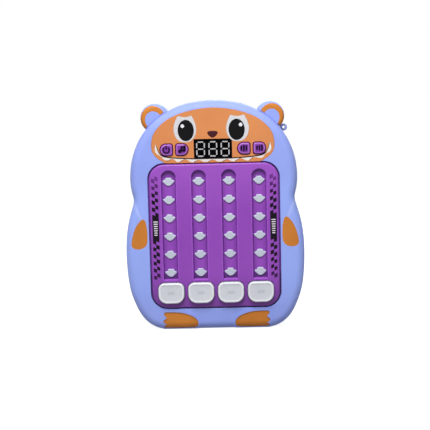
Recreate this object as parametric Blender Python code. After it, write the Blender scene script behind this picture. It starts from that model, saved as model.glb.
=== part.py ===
"""A handheld electronic rhythm game: a bear-shaped silicone cover over a two-part plastic case.

Units are metres, +Z is up, the player's side faces -Y, and the origin lies under the middle of the part,
on the surface that it stands on. Depths are measured backwards from the front skin of the cover.
"""

import math

import bmesh
import bpy
from mathutils import Matrix, Vector

# Clearances
GAP = 0.0003
SLIDE_GAP = 0.0004
OVERRUN = 0.0015
EMBED = 0.0008

# Play buttons, one under each column of lamps
COLUMNS = 4
BUTTON_WIDTH = 0.0181
BUTTON_HEIGHT = 0.0145
BUTTON_SPACING = 0.0029
BUTTON_TOP_RADIUS = 0.0043
BUTTON_BOTTOM_RADIUS = 0.006
BUTTON_PROUD = 0.003
BUTTON_EDGE = 0.0011
BUTTON_WALL = 0.0015
BUTTON_FLANGE = 0.0007
BUTTON_FLANGE_THICKNESS = 0.001
BUTTON_TRAVEL = 0.002
STEM_RADIUS = 0.0022

# Rubber domes under the play buttons
DOME_SQUASHED = 0.0023
DOME_TOP_RADIUS = 0.0024
DOME_FOOT_RADIUS = 0.0044
DOME_WALL = 0.0008

# Purple panel with its lamp grooves
PANEL_WALL = 0.0018
PANEL_RIM = 0.0016
PANEL_PROUD = 0.0008
PANEL_EDGE = 0.0012
PANEL_SIDE_MARGIN = 0.0044
PANEL_FOOT_MARGIN = 0.001
PANEL_TOP_MARGIN = 0.0051
PANEL_TOP_RADIUS = 0.0105
GROOVE_WIDTH = 0.0103
GROOVE_DEPTH = 0.0022
GROOVE_DRAFT = 0.0003
GROOVE_FOOT_MARGIN = 0.0043
GROOVE_HEAD_MARGIN = 0.0071
GROOVE_FLOOR = 0.0014
TROUGH_WALL = 0.0012
RAMP_SHARE = 0.64

# Lamps and their lenses
LAMP_ROWS = 6
ROW_PITCH = 0.01288
GEM_WIDTH = 0.0084
GEM_HEIGHT = 0.0059
GEM_PROUD = 0.0007
LENS_PLATE = 0.0012
LENS_EDGE = 0.0012
CHIP_WIDTH = 0.0035
CHIP_HEIGHT = 0.0028
CHIP_DEPTH = 0.0012
GEM_SHARES = ((0.43, 1.0), (0.50, 0.56), (1.0, 0.16), (0.45, -0.70), (0.0, -1.0))

# Display
DIGITS = 3
DIGIT_WIDTH = 0.0064
DIGIT_HEIGHT = 0.0108
DIGIT_PITCH = 0.0085
SEGMENT_WIDTH = 0.0011
SEGMENT_GAP = 0.00035
SEGMENT_PROUD = 0.0003
DISPLAY_SIDE_MARGIN = 0.0009
DISPLAY_END_MARGIN = 0.00095
DISPLAY_ABOVE_MOUTH = 0.0009
DISPLAY_RECESS = 0.0009

# Small keys beside the display
KEY_WIDTH = 0.0089
KEY_HEIGHT = 0.0082
KEY_ROUND_RADIUS = 0.0039
KEY_CORNER_RADIUS = 0.0015
KEY_SPACING = 0.0019
KEY_TO_DISPLAY = 0.0044
KEY_PROUD = 0.0012
KEY_EDGE = 0.0006
KEY_FLANGE = 0.0007
KEY_FLANGE_THICKNESS = 0.0008
SWITCH_SIDE = 0.006
SWITCH_DEPTH = 0.0034
SWITCH_BORE_DEPTH = 0.0023
PLUNGER_RADIUS = 0.0015
PLUNGER_PROUD = 0.0012
PLUNGER_HELD = 0.0011

# Silicone cover
COVER_WALL = 0.0024
LIP_WIDTH = 0.009
LIP_THICKNESS = 0.002
SIDE_BAND = 0.01805
FOOT_BAND = 0.0162
CROWN_BAND = 0.0051
WINDOW_GAP = 0.0006
INLAY_THICKNESS = 0.0012
EAR_RADIUS = 0.01005
EAR_FRONT = 0.005
EAR_BACK = 0.019
EAR_EDGE = 0.003
EAR_RING_OUTER = 0.0089
EAR_RING_INNER = 0.0057
EAR_RING_ARC = (math.radians(-48), math.radians(158))

# Face, stacked up from its seam with the panel's window: mouth, keys and display, eyes, crown
FACE_SEAM = 0.0002
FACE_SIDE_MARGIN = 0.0058
MOUTH_RISE = 0.0006
MOUTH_HEIGHT = 0.0126
MOUTH_SIDE_MARGIN = 0.0017
MOUTH_TOP_SHARE = 0.115
MOUTH_STEP_SHARE = 0.170
MOUTH_STEP_MARGIN = 0.0009
MOUTH_STEP_RUN = 0.0006
EYE_ABOVE_KEYS = 0.001
EYE_WIDTH = 0.0154
EYE_HEIGHT = 0.0179
EYE_TO_CROWN = 0.0054
EYE_SPREAD_SHARE = 0.428
PUPIL_WIDTH_SHARE = 0.71
PUPIL_HEIGHT_SHARE = 0.805
PUPIL_RISE_SHARE = 0.045
PUPIL_INSET_SHARE = 0.04
NOSE_ABOVE_DISPLAY = 0.00175
NOSE_WIDTH = 0.0070
NOSE_HEIGHT = 0.0042

# Case
SHELL_WALL = 0.002
INNER_EDGE = 0.0013
SPLIT_BEHIND_BOARD = 0.0024
FRONT_BOSS_RADIUS = 0.003
REAR_BOSS_RADIUS = 0.004
BACK_RECESS = 0.0006
LOOP_RADIUS = 0.0025
LOOP_HOLE_RADIUS = 0.0009
LOOP_THICKNESS = 0.0025
LOOP_BEHIND_EAR = 0.001
LOOP_REACH = 0.003
LOOP_NECK = 0.0022

# Circuit board
BOARD_THICKNESS = 0.0016
BOARD_SIDE_MARGIN = 0.0045
BOARD_ABOVE_DISPLAY = 0.0045
BOSS_ABOVE_BOARD = 0.0011
BOSS_BELOW_BOARD = 0.0006
BOARD_RADIUS = 0.004
POST_RADIUS = 0.0022
STAKE_RADIUS = 0.0011
STAKE_HEAD_RADIUS = 0.002
STAKE_HEAD_HEIGHT = 0.001
BOARD_REAR_SPACE = 0.0037
MCU_SIDE = 0.010
MCU_THICKNESS = 0.0015

# Screws
SCREW_RADIUS = 0.0011
SCREW_HEAD_RADIUS = 0.0024
SCREW_HEAD_HEIGHT = 0.0018
SCREW_LENGTH = 0.012
SCREW_SEAT_WALL = 0.006
SLOT_WIDTH = 0.0006
SLOT_DEPTH = 0.0007
SLOT_REACH_SHARE = 0.62
DOOR_SCREW_LENGTH = 0.005
HOLE_END = 0.0008

# Battery bay
CELLS = 3
CELL_RADIUS = 0.00525
CELL_LENGTH = 0.0436
NUB_RADIUS = 0.0019
NUB_LENGTH = 0.0009
SPRING_LENGTH = 0.0045
SPRING_RADIUS = 0.0034
SPRING_WIRE = 0.00035
SPRING_TURNS = 3.5
SPRING_STEPS = 8
SPRING_SIDES = 5
SPRING_TAPER_SHARE = 0.3
PLATE_THICKNESS = 0.0005
PLATE_MARGIN = 0.0008
TAB_WIDTH = 0.003
TAB_REACH = 0.0012
BAY_WALL = 0.0024
BAY_FLOOR = 0.0015
BAY_FOOT = 0.0405
DOOR_THICKNESS = 0.002
DOOR_RIM = 0.0012
TONGUE_WIDTH = 0.014
TONGUE_HEIGHT = 0.008
DOOR_TAB_WIDTH = 0.008
DOOR_TAB_HEIGHT = 0.0015
DOOR_TAB_THICKNESS = 0.0009

# Speaker
SPEAKER_RADIUS = 0.014
SPEAKER_FLANGE = 0.001
SPEAKER_DEPTH = 0.0039
SPEAKER_RING_WALL = 0.0012
SPEAKER_RING_DEPTH = 0.003
SPEAKER_ABOVE_BAY = 0.0035
MAGNET_RADIUS = 0.0065
MAGNET_DEPTH = 0.003
CONE_WALL = 0.0005
GRILLE_HOLE_RADIUS = 0.0009
GRILLE_PITCH = 0.0038
GRILLE_RINGS = 2
GRILLE_SIDES = 6

# Leads
LEAD_RADIUS = 0.0006
LEAD_SIDES = 6
LEAD_STEPS = 2

# Resolution and shading
CORNER_STEPS = 3
OUTLINE_STEPS = 1
COVER_EDGE_STEPS = 3
CASE_EDGE_STEPS = 2
CIRCLE_STEPS = 10
SMOOTH_ANGLE = math.radians(32)

# Sizes worked out from those above, across the front
PITCH = BUTTON_WIDTH + BUTTON_SPACING
PANEL_WIDTH = (COLUMNS - 1) * PITCH + BUTTON_WIDTH + 2 * PANEL_SIDE_MARGIN
BUTTON_FOOT_MARGIN = PANEL_RIM + PANEL_FOOT_MARGIN + BUTTON_FLANGE + SLIDE_GAP
BUTTON_TO_GROOVE = TROUGH_WALL + BUTTON_FLANGE + 2 * GAP
GROOVE_LENGTH = GROOVE_FOOT_MARGIN + (LAMP_ROWS - 1) * ROW_PITCH + GROOVE_HEAD_MARGIN
PANEL_HEIGHT = BUTTON_FOOT_MARGIN + BUTTON_HEIGHT + BUTTON_TO_GROOVE + GROOVE_LENGTH + PANEL_TOP_MARGIN
PANEL_BOTTOM_RADIUS = BUTTON_BOTTOM_RADIUS + PANEL_SIDE_MARGIN
BODY_WIDTH = PANEL_WIDTH + 2 * SIDE_BAND
DISPLAY_WIDTH = (DIGITS - 1) * DIGIT_PITCH + DIGIT_WIDTH + 2 * DISPLAY_SIDE_MARGIN
DISPLAY_HEIGHT = DIGIT_HEIGHT + 2 * DISPLAY_END_MARGIN
FACE_RISE = WINDOW_GAP + FACE_SEAM
MOUTH_TOP_RISE = FACE_RISE + MOUTH_RISE + MOUTH_TOP_SHARE * MOUTH_HEIGHT
KEY_RISE = MOUTH_TOP_RISE + DISPLAY_ABOVE_MOUTH + DISPLAY_HEIGHT / 2
EYE_RISE = KEY_RISE + KEY_HEIGHT / 2 + EYE_ABOVE_KEYS
FACE_HEIGHT = EYE_RISE + EYE_HEIGHT + EYE_TO_CROWN
BODY_HEIGHT = FOOT_BAND + PANEL_HEIGHT + FACE_HEIGHT + CROWN_BAND
PANEL_FOOT = FOOT_BAND
PANEL_TOP = PANEL_FOOT + PANEL_HEIGHT
BUTTON_Z = PANEL_FOOT + BUTTON_FOOT_MARGIN + BUTTON_HEIGHT / 2
GROOVE_FOOT = BUTTON_Z + BUTTON_HEIGHT / 2 + BUTTON_TO_GROOVE
FIRST_LAMP_Z = GROOVE_FOOT + GROOVE_FOOT_MARGIN
KEY_Z = PANEL_TOP + KEY_RISE
INNER_KEY_X = DISPLAY_WIDTH / 2 + KEY_TO_DISPLAY + KEY_WIDTH / 2
OUTER_KEY_X = INNER_KEY_X + KEY_WIDTH + KEY_SPACING
FACE_HALF_WIDTH = OUTER_KEY_X + KEY_WIDTH / 2 + FACE_SIDE_MARGIN
MOUTH_HALF_WIDTH = FACE_HALF_WIDTH - MOUTH_SIDE_MARGIN
PUPIL_WIDTH = PUPIL_WIDTH_SHARE * EYE_WIDTH
PUPIL_HEIGHT = PUPIL_HEIGHT_SHARE * EYE_HEIGHT
COLUMN_X = [(column - (COLUMNS - 1) / 2) * PITCH for column in range(COLUMNS)]
LAMP_Z = [FIRST_LAMP_Z + row * ROW_PITCH for row in range(LAMP_ROWS)]

# Depths from the front skin, worked out from the stack of pieces
CASE_INSET = COVER_WALL + GAP
COVER_EDGE = INNER_EDGE + SHELL_WALL + CASE_INSET
WALL_BACK = CASE_INSET + SHELL_WALL
PANEL_BACK = PANEL_WALL - PANEL_PROUD
GROOVE_FLOOR_FRONT = GROOVE_DEPTH - PANEL_PROUD
TROUGH_BACK = GROOVE_FLOOR_FRONT + GROOVE_FLOOR
KEY_BACK = WALL_BACK + GAP + KEY_FLANGE_THICKNESS
PLUNGER_FRONT = KEY_BACK + GAP
SWITCH_FRONT = PLUNGER_FRONT + PLUNGER_PROUD
BOARD_FRONT = SWITCH_FRONT + SWITCH_DEPTH
BOARD_BACK = BOARD_FRONT + BOARD_THICKNESS
DOME_BACK = BOARD_FRONT - GAP
DOME_FRONT = DOME_BACK - BUTTON_TRAVEL - DOME_SQUASHED
SPLIT = BOARD_BACK + SPLIT_BEHIND_BOARD
BAY_FLOOR_FRONT = BOARD_BACK + BOARD_REAR_SPACE
BAY_FLOOR_BACK = BAY_FLOOR_FRONT + BAY_FLOOR
CELL_AXIS = BAY_FLOOR_BACK + GAP + CELL_RADIUS
DOOR_FRONT = CELL_AXIS + CELL_RADIUS + GAP
CASE_BACK = DOOR_FRONT + DOOR_THICKNESS
CASE_WALL_FRONT = CASE_BACK - SHELL_WALL
BODY_DEPTH = CASE_BACK + BACK_RECESS
SHOULDER = BODY_DEPTH - LIP_THICKNESS - GAP
PLATEAU_INSET = LIP_WIDTH + GAP
SCREW_SEAT = SPLIT + GAP + SCREW_SEAT_WALL
OVERALL_DEPTH = BODY_DEPTH + PANEL_PROUD + BUTTON_PROUD
FRONT_Y = BUTTON_PROUD + PANEL_PROUD - OVERALL_DEPTH / 2

# Battery bay and speaker places
BAY_LENGTH = CELL_LENGTH + NUB_LENGTH + SPRING_LENGTH + 2 * PLATE_THICKNESS + 5 * GAP
CELL_PITCH = 2 * CELL_RADIUS + GAP
BAY_HEIGHT = CELLS * CELL_PITCH + GAP
BAY_Z = BAY_FOOT + BAY_WALL + BAY_HEIGHT / 2
CELL_Z = [BAY_Z + (cell - (CELLS - 1) / 2) * CELL_PITCH for cell in range(CELLS)]
DOOR_FOOT = BAY_Z - BAY_HEIGHT / 2 - DOOR_RIM
DOOR_HEAD = BAY_Z + BAY_HEIGHT / 2 + DOOR_RIM
TONGUE_HEAD = DOOR_HEAD + TONGUE_HEIGHT
DOOR_SCREW_Z = DOOR_HEAD + TONGUE_HEIGHT / 2
SPEAKER_Z = TONGUE_HEAD + SPEAKER_ABOVE_BAY + SPEAKER_RADIUS + GAP + SPEAKER_RING_WALL
BOARD_HALF_WIDTH = PANEL_WIDTH / 2 - BOARD_SIDE_MARGIN
BOARD_FOOT = PANEL_FOOT + PANEL_RIM / 2
BOARD_HEAD = KEY_Z + DISPLAY_HEIGHT / 2 + BOARD_ABOVE_DISPLAY

# Places given as shares of the body's half width and height, or of the face or band that they lie in
HEAD_SHARES = (
    (0.0, 1.0), (0.190, 0.995), (0.349, 0.9814), (0.508, 0.9535), (0.638, 0.9195), (0.751, 0.8748),
    (0.841, 0.8191), (0.905, 0.7497), (0.930, 0.6753), (0.919, 0.6152), (0.889, 0.5762),
)
TORSO_SHARES = (
    (0.889, 0.5762), (0.921, 0.5353), (0.963, 0.4796), (0.990, 0.4151), (1.0, 0.3408), (0.9937, 0.2571),
    (0.970, 0.1822), (0.927, 0.1264), (0.862, 0.0706), (0.786, 0.0335), (0.690, 0.0099), (0.571, 0.0),
)
EAR_CENTRE_SHARES = (0.6365, 0.9273)
LOOP_SHARES = (0.766, 0.8668)
UPPER_BOSS_SHARE, LOWER_BOSS_SHARE = 0.349, 0.476
MIDDLE_BOSS_SHARES = (0.778, 0.425)
FACE_SHARES = (
    (0.0, 1.0), (0.233, 0.978), (0.466, 0.922), (0.583, 0.875), (0.699, 0.820), (0.816, 0.730),
    (0.886, 0.650), (0.932, 0.592), (0.979, 0.488), (1.0, 0.366), (1.0, 0.275), (0.984, 0.197),
    (0.944, 0.132), (0.886, 0.072), (0.816, 0.036), (0.740, 0.0),
)
HAND_SHARES = (
    (0.270, 0.4920), (0.215, 0.4870), (0.160, 0.4640), (0.135, 0.4300), (0.145, 0.3960), (0.200, 0.3790),
    (0.300, 0.3690), (0.430, 0.3640), (0.580, 0.3640), (0.700, 0.3700), (0.755, 0.3820), (0.735, 0.4030),
    (0.665, 0.4330), (0.560, 0.4610), (0.440, 0.4800), (0.340, 0.4910),
)
MOUTH_SHARES = (
    (0.500, 0.190), (0.667, 0.220), (0.794, 0.270), (0.860, 0.335), (0.905, 0.450), (0.946, 0.660),
    (0.974, 1.0), (1.0, 0.650),
    (0.990, 0.510), (0.955, 0.380), (0.900, 0.250), (0.806, 0.060), (0.691, 0.130), (0.576, 0.020),
    (0.461, 0.110), (0.346, 0.0), (0.230, 0.060), (0.115, 0.0), (0.0, 0.060),
)
EYE_SHARES = (
    (0.0, 0.955), (0.30, 0.967), (0.50, 0.998), (0.62, 0.985), (0.74, 0.895), (0.90, 0.740),
    (1.0, 0.530), (0.97, 0.370), (0.85, 0.215), (0.62, 0.085), (0.33, 0.018), (0.0, 0.0),
)
FOOT_SHARES = (
    (0.810, 0.795), (0.660, 0.800), (0.540, 0.765), (0.430, 0.680), (0.345, 0.565), (0.293, 0.420),
    (0.285, 0.260), (0.320, 0.115), (0.420, 0.085), (0.560, 0.080), (0.720, 0.085), (0.815, 0.110),
    (0.830, 0.180), (0.795, 0.260), (0.830, 0.340), (0.840, 0.430), (0.790, 0.550), (0.825, 0.680),
)


# Outlines are lists of (x, z) points in the plane of the front.


def smooth_through(points, steps):
    """A Catmull-Rom curve through the points; the first and last only give the end slopes."""
    curve = []
    for before, start, end, after in zip(points, points[1:], points[2:], points[3:]):
        p0, p1, p2, p3 = (Vector(p) for p in (before, start, end, after))
        for step in range(steps):
            t = step / steps
            curve.append(
                0.5
                * (
                    2 * p1
                    + (p2 - p0) * t
                    + (2 * p0 - 5 * p1 + 4 * p2 - p3) * t * t
                    + (3 * p1 - p0 - 3 * p2 + p3) * t**3
                )
            )
    return curve


def mirrored(right_side):
    """A closed outline from its right side, which runs from the top middle to the bottom."""
    left_side = [(-x, z) for x, z in reversed(right_side) if abs(x) > GAP / 10]
    return [tuple(p) for p in right_side] + left_side


def body_outline():
    half, height = BODY_WIDTH / 2, BODY_HEIGHT
    head = [(x * half, z * height) for x, z in HEAD_SHARES]
    torso = [(x * half, z * height) for x, z in TORSO_SHARES]
    head_start = (-head[1][0], head[1][1])
    head_end = tuple(2 * a - b for a, b in zip(head[-1], head[-2]))
    torso_start = tuple(2 * a - b for a, b in zip(torso[0], torso[1]))
    upper = smooth_through([head_start, *head, head_end], OUTLINE_STEPS)
    lower = smooth_through([torso_start, *torso, (0.0, 0.0)], OUTLINE_STEPS)
    return mirrored([*upper, *lower, Vector(torso[-1])])


def offset(outline, distance):
    """The outline moved inwards by a distance, or outwards by a negative one."""
    points = [Vector(p) for p in outline]
    turning = sum(a.x * b.y - b.x * a.y for a, b in zip(points, points[1:] + points[:1]))
    side = 1 if turning > 0 else -1
    moved = []
    for before, here, after in zip(points[-1:] + points[:-1], points, points[1:] + points[:1]):
        first, second = (here - before).normalized(), (after - here).normalized()
        normal_1 = Vector((-first.y, first.x)) * side
        normal_2 = Vector((-second.y, second.x)) * side
        moved.append(here + (normal_1 + normal_2) * (distance / (1 + normal_1.dot(normal_2))))
    return [tuple(p) for p in moved]


def rounded(width, height, centre, radii, steps=CORNER_STEPS):
    """A rectangle with its own radius at the top right, top left, bottom left and bottom right."""
    points = []
    signs = ((1, 1), (-1, 1), (-1, -1), (1, -1))
    for corner, ((sx, sz), radius) in enumerate(zip(signs, radii)):
        cx = centre[0] + sx * (width / 2 - radius)
        cz = centre[1] + sz * (height / 2 - radius)
        for step in range(steps + 1):
            angle = math.pi / 2 * (corner + step / steps)
            points.append((cx + radius * math.cos(angle), cz + radius * math.sin(angle)))
    return points


def rectangle(x_low, x_high, z_low, z_high):
    return [(x_low, z_low), (x_high, z_low), (x_high, z_high), (x_low, z_high)]


def ellipse(centre, half_width, half_height, steps=CIRCLE_STEPS):
    turns = [2 * math.pi * step / steps for step in range(steps)]
    return [(centre[0] + half_width * math.cos(t), centre[1] + half_height * math.sin(t)) for t in turns]


def circle(centre, radius, steps=CIRCLE_STEPS):
    return ellipse(centre, radius, radius, steps)


def circle_like(outline, centre, radius):
    """A circle with a point in the direction of each point of the outline."""
    middle = Vector(centre)
    return [tuple(middle + (Vector(p) - middle).normalized() * radius) for p in outline]


def button_outline(x, grow=0.0):
    tops, bottoms = BUTTON_TOP_RADIUS + grow, BUTTON_BOTTOM_RADIUS + grow
    size = (BUTTON_WIDTH + 2 * grow, BUTTON_HEIGHT + 2 * grow)
    return rounded(*size, (x, BUTTON_Z), (tops, tops, bottoms, bottoms))


def key_outline(x, grow=0.0):
    """A D-shaped key: round towards the cheek on an outer key, and towards the display on an inner one."""
    round_side = 1 if (x > 0) == (abs(x) > (INNER_KEY_X + OUTER_KEY_X) / 2) else -1
    large, small = KEY_ROUND_RADIUS + grow, KEY_CORNER_RADIUS + grow
    radii = (large, small, small, large) if round_side > 0 else (small, large, large, small)
    return rounded(KEY_WIDTH + 2 * grow, KEY_HEIGHT + 2 * grow, (x, KEY_Z), radii)


def panel_outline(grow=0.0):
    tops, bottoms = PANEL_TOP_RADIUS + grow, PANEL_BOTTOM_RADIUS + grow
    size = (PANEL_WIDTH + 2 * grow, PANEL_HEIGHT + 2 * grow)
    centre = (0.0, PANEL_FOOT + PANEL_HEIGHT / 2)
    return rounded(*size, centre, (tops, tops, bottoms, bottoms), CORNER_STEPS + 1)


def display_outline(grow=0.0):
    half_width, half_height = DISPLAY_WIDTH / 2 + grow, DISPLAY_HEIGHT / 2 + grow
    return rectangle(-half_width, half_width, KEY_Z - half_height, KEY_Z + half_height)


def gem_outline(x, z, grow=0.0):
    half_width, half_height = GEM_WIDTH / 2, GEM_HEIGHT / 2
    right = [(sx * half_width, sz * half_height) for sx, sz in GEM_SHARES]
    outline = [(x + px, z + pz) for px, pz in mirrored(right)]
    return offset(outline, -grow)


def groove_outline(x, shrink, foot):
    """A slot with a round head and a flat foot; the foot is its height above the table."""
    radius = GROOVE_WIDTH / 2 - shrink
    head = GROOVE_FOOT + GROOVE_LENGTH - GROOVE_WIDTH / 2
    turns = [math.pi * step / (2 * CORNER_STEPS) for step in range(2 * CORNER_STEPS + 1)]
    arc = [(x + radius * math.cos(t), head + radius * math.sin(t)) for t in turns]
    return [*arc, (x - radius, foot), (x + radius, foot)]


def face_outline(grow=0.0):
    """The orange face plate, from the crown down to the seam with the panel's window."""
    foot = PANEL_TOP + FACE_RISE
    head = PANEL_TOP + FACE_HEIGHT
    right = [(x * FACE_HALF_WIDTH, foot + z * (head - foot)) for x, z in FACE_SHARES]
    return offset(mirrored(right), -grow)


def hand_outline(side, grow=0.0):
    """A paw between the panel and the body's edge, by shares of the side band and the body's height."""
    edge = PANEL_WIDTH / 2
    points = [(side * (edge + x * SIDE_BAND), z * BODY_HEIGHT) for x, z in HAND_SHARES]
    return offset(points, -grow)


def foot_outline(side, grow=0.0):
    """A foot with three toes, by shares of the panel's half width and of the band under the panel."""
    points = [(side * x * PANEL_WIDTH / 2, z * FOOT_BAND) for x, z in FOOT_SHARES]
    return offset(points, -grow)


def ear_centre(side):
    return (side * EAR_CENTRE_SHARES[0] * BODY_WIDTH / 2, EAR_CENTRE_SHARES[1] * BODY_HEIGHT)


def ear_ring_outline(side, grow=0.0):
    """The orange arc round the ear, open where the ear meets the head."""
    cx, cz = ear_centre(side)
    first, last = EAR_RING_ARC
    turns = [first + (last - first) * step / (4 * CORNER_STEPS) for step in range(4 * CORNER_STEPS + 1)]
    outer = [(cx + side * EAR_RING_OUTER * math.cos(t), cz + EAR_RING_OUTER * math.sin(t)) for t in turns]
    inner = [(cx + side * EAR_RING_INNER * math.cos(t), cz + EAR_RING_INNER * math.sin(t)) for t in turns]
    return offset(outer + inner[::-1], -grow)


def eye_foot(side):
    return (side * EYE_SPREAD_SHARE * FACE_HALF_WIDTH, PANEL_TOP + EYE_RISE)


def pupil_outline(side, grow=0.0):
    """The pupil, set low in the white and a little towards the nose."""
    x, foot = eye_foot(side)
    x -= side * PUPIL_INSET_SHARE * EYE_WIDTH
    z = foot + PUPIL_RISE_SHARE * EYE_HEIGHT + PUPIL_HEIGHT / 2
    return ellipse((x, z), PUPIL_WIDTH / 2 + grow, PUPIL_HEIGHT / 2 + grow, CIRCLE_STEPS + 4)


def eye_outline(side, grow=0.0):
    """The white of an eye: an oval with a shallow dip between two corners at its top."""
    x, foot = eye_foot(side)
    right = [(sx * EYE_WIDTH / 2, foot + sz * EYE_HEIGHT) for sx, sz in EYE_SHARES]
    return offset([(x + px, z) for px, z in mirrored(right)], -grow)


def nose_outline(grow=0.0):
    """A rounded triangle, flat side up."""
    z = KEY_Z + DISPLAY_HEIGHT / 2 + NOSE_ABOVE_DISPLAY + NOSE_HEIGHT / 2
    half, height = NOSE_WIDTH / 2, NOSE_HEIGHT
    shares = ((0.75, 0.50), (1.0, 0.30), (0.85, 0.0), (0.45, -0.38), (0.15, -0.50))
    right = [(x * half, z + share * height) for x, share in shares]
    return offset(mirrored(right), -grow)


def mouth_outline(grow=0.0):
    """A wide smile that ends in two cheek tips, with an even row of pointed teeth along its foot."""
    foot = PANEL_TOP + FACE_RISE + MOUTH_RISE
    step, top = DISPLAY_WIDTH / 2 + MOUTH_STEP_MARGIN, foot + MOUTH_TOP_SHARE * MOUTH_HEIGHT
    right = [(0.0, top), (step, top), (step + MOUTH_STEP_RUN, foot + MOUTH_STEP_SHARE * MOUTH_HEIGHT)]
    right += [(x * MOUTH_HALF_WIDTH, foot + z * MOUTH_HEIGHT) for x, z in MOUTH_SHARES]
    return offset(mirrored(right), -grow)


def door_outline(grow=0.0):
    """The battery door: a rectangle with a tongue at its head for the screw."""
    half, tongue = BAY_LENGTH / 2 + DOOR_RIM + grow, TONGUE_WIDTH / 2 + grow
    foot, head, top = DOOR_FOOT - grow, DOOR_HEAD + grow, TONGUE_HEAD + grow
    return [
        (-half, foot), (half, foot), (half, head), (tongue, head),
        (tongue, top), (-tongue, top), (-tongue, head), (-half, head),
    ]


# Solids are built from rings: an outline at a depth behind the front skin.


def ring(outline, depth):
    return [Vector((x, FRONT_Y + depth, z)) for x, z in outline]


def add_loft(bm, rings):
    """Skins a closed body over rings of equal length, with a flat cap at each end."""
    loops = [[bm.verts.new(point) for point in points] for points in rings]
    for near, far in zip(loops, loops[1:]):
        for i, _ in enumerate(near):
            j = (i + 1) % len(near)
            bm.faces.new((near[i], near[j], far[j], far[i]))
    bm.faces.new(loops[0])
    bm.faces.new(loops[-1])


def add_prism(bm, outline, near, far):
    add_loft(bm, [ring(outline, near), ring(outline, far)])


def add_turned(bm, centre, profile, steps=CIRCLE_STEPS):
    """A round body about an axis along the depth, from (radius, depth) pairs."""
    add_loft(bm, [ring(circle(centre, radius, steps), depth) for radius, depth in profile])


def add_box(bm, x_range, depth_range, z_range):
    add_prism(bm, rectangle(*x_range, *z_range), *depth_range)


def add_tube(bm, route, radius, sides):
    """A round tube along a route of points, with its ends closed."""
    points = [Vector(p) for p in route]
    across = (points[1] - points[0]).orthogonal().normalized()
    rings = []
    for i, point in enumerate(points):
        ahead = (points[min(i + 1, len(points) - 1)] - points[max(i - 1, 0)]).normalized()
        across = (across - ahead * across.dot(ahead)).normalized()
        up = ahead.cross(across)
        turns = [2 * math.pi * side / sides for side in range(sides)]
        rings.append([point + (across * math.cos(t) + up * math.sin(t)) * radius for t in turns])
    add_loft(bm, rings)


def material(name, colour, roughness, metallic=0.0):
    made = bpy.data.materials.get(name)
    if made is None:
        made = bpy.data.materials.new(name)
        made.use_nodes = True
        shader = made.node_tree.nodes["Principled BSDF"]
        shader.inputs["Base Color"].default_value = (*colour, 1.0)
        shader.inputs["Roughness"].default_value = roughness
        shader.inputs["Metallic"].default_value = metallic
    return made


FINISHES = {
    "periwinkle_silicone": ((0.36, 0.43, 0.86), 0.55),
    "orange_silicone": ((0.76, 0.26, 0.06), 0.55),
    "white_silicone": ((0.80, 0.79, 0.77), 0.55),
    "black_silicone": ((0.012, 0.012, 0.014), 0.45),
    "brown_silicone": ((0.07, 0.02, 0.03), 0.5),
    "purple_plastic": ((0.30, 0.08, 0.45), 0.35),
    "violet_blue_plastic": ((0.17, 0.19, 0.62), 0.38),
    "white_plastic": ((0.78, 0.79, 0.80), 0.3),
    "frosted_lens": ((0.66, 0.72, 0.76), 0.4),
    "black_plastic": ((0.015, 0.015, 0.016), 0.35),
    "translucent_rubber": ((0.62, 0.63, 0.62), 0.6),
    "board_green": ((0.02, 0.15, 0.06), 0.45),
    "steel": ((0.62, 0.62, 0.63), 0.3, 1.0),
    "nickel": ((0.72, 0.71, 0.68), 0.25, 1.0),
    "cell_jacket": ((0.09, 0.10, 0.12), 0.35),
    "paper_cone": ((0.05, 0.05, 0.05), 0.8),
    "red_lead": ((0.55, 0.02, 0.02), 0.45),
    "black_lead": ((0.02, 0.02, 0.02), 0.45),
}


def place(name, bm, finish=None, origin=None):
    """Turns a bmesh into an object: a piece with a finish, or a hidden cutter without one."""
    bmesh.ops.recalc_face_normals(bm, faces=bm.faces)
    mesh = bpy.data.meshes.new(name)
    bm.to_mesh(mesh)
    bm.free()
    mesh.shade_smooth()
    mesh.set_sharp_from_angle(angle=SMOOTH_ANGLE)
    obj = bpy.data.objects.new(name, mesh)
    bpy.context.scene.collection.objects.link(obj)
    if origin is not None:
        mesh.transform(Matrix.Translation(-Vector(origin)))
        obj.location = origin
    if finish is None:
        obj.hide_render = True
        obj.display_type = "WIRE"
    else:
        mesh.materials.append(material(finish, *FINISHES[finish]))
    return obj


def combine(obj, other, operation):
    """Adds a Boolean of another object: DIFFERENCE, UNION or INTERSECT."""
    modifier = obj.modifiers.new(other.name, "BOOLEAN")
    modifier.operation = operation
    modifier.solver = "EXACT"
    modifier.object = other


def prisms(name, outlines, near, far):
    """A hidden cutter made of separate prisms between two depths."""
    bm = bmesh.new()
    for outline in outlines:
        add_prism(bm, outline, near, far)
    return place(name, bm)


# Skins: the body and the ears, drawn in evenly by a distance.


def edge_stations(inset, depth, edge, steps):
    """Pairs of inset and depth round an edge, from the face to the side; a back face has a negative edge."""
    turns = [math.pi / 2 * step / steps for step in range(steps + 1)]
    return [(inset + abs(edge) * (1 - math.sin(t)), depth + edge * (1 - math.cos(t))) for t in turns]


def rings_at(outline, stations):
    return [ring(offset(outline, drawn_in), depth) for drawn_in, depth in stations]


def slab_rings(outline, inset, front, back, edge, steps):
    """Rings of a slab with rounded front and back edges, from front to back."""
    face = edge_stations(inset, front, edge, steps)
    rear = edge_stations(inset, back, -edge, steps)
    return rings_at(outline, face + rear[::-1])


def body_skin(name, inset):
    """The solid inside the cover's outer surface, drawn in by a distance."""
    bm = bmesh.new()
    edge = COVER_EDGE - inset
    add_loft(bm, slab_rings(body_outline(), inset, inset, BODY_DEPTH - inset, edge, COVER_EDGE_STEPS))
    return place(name, bm)


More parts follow.
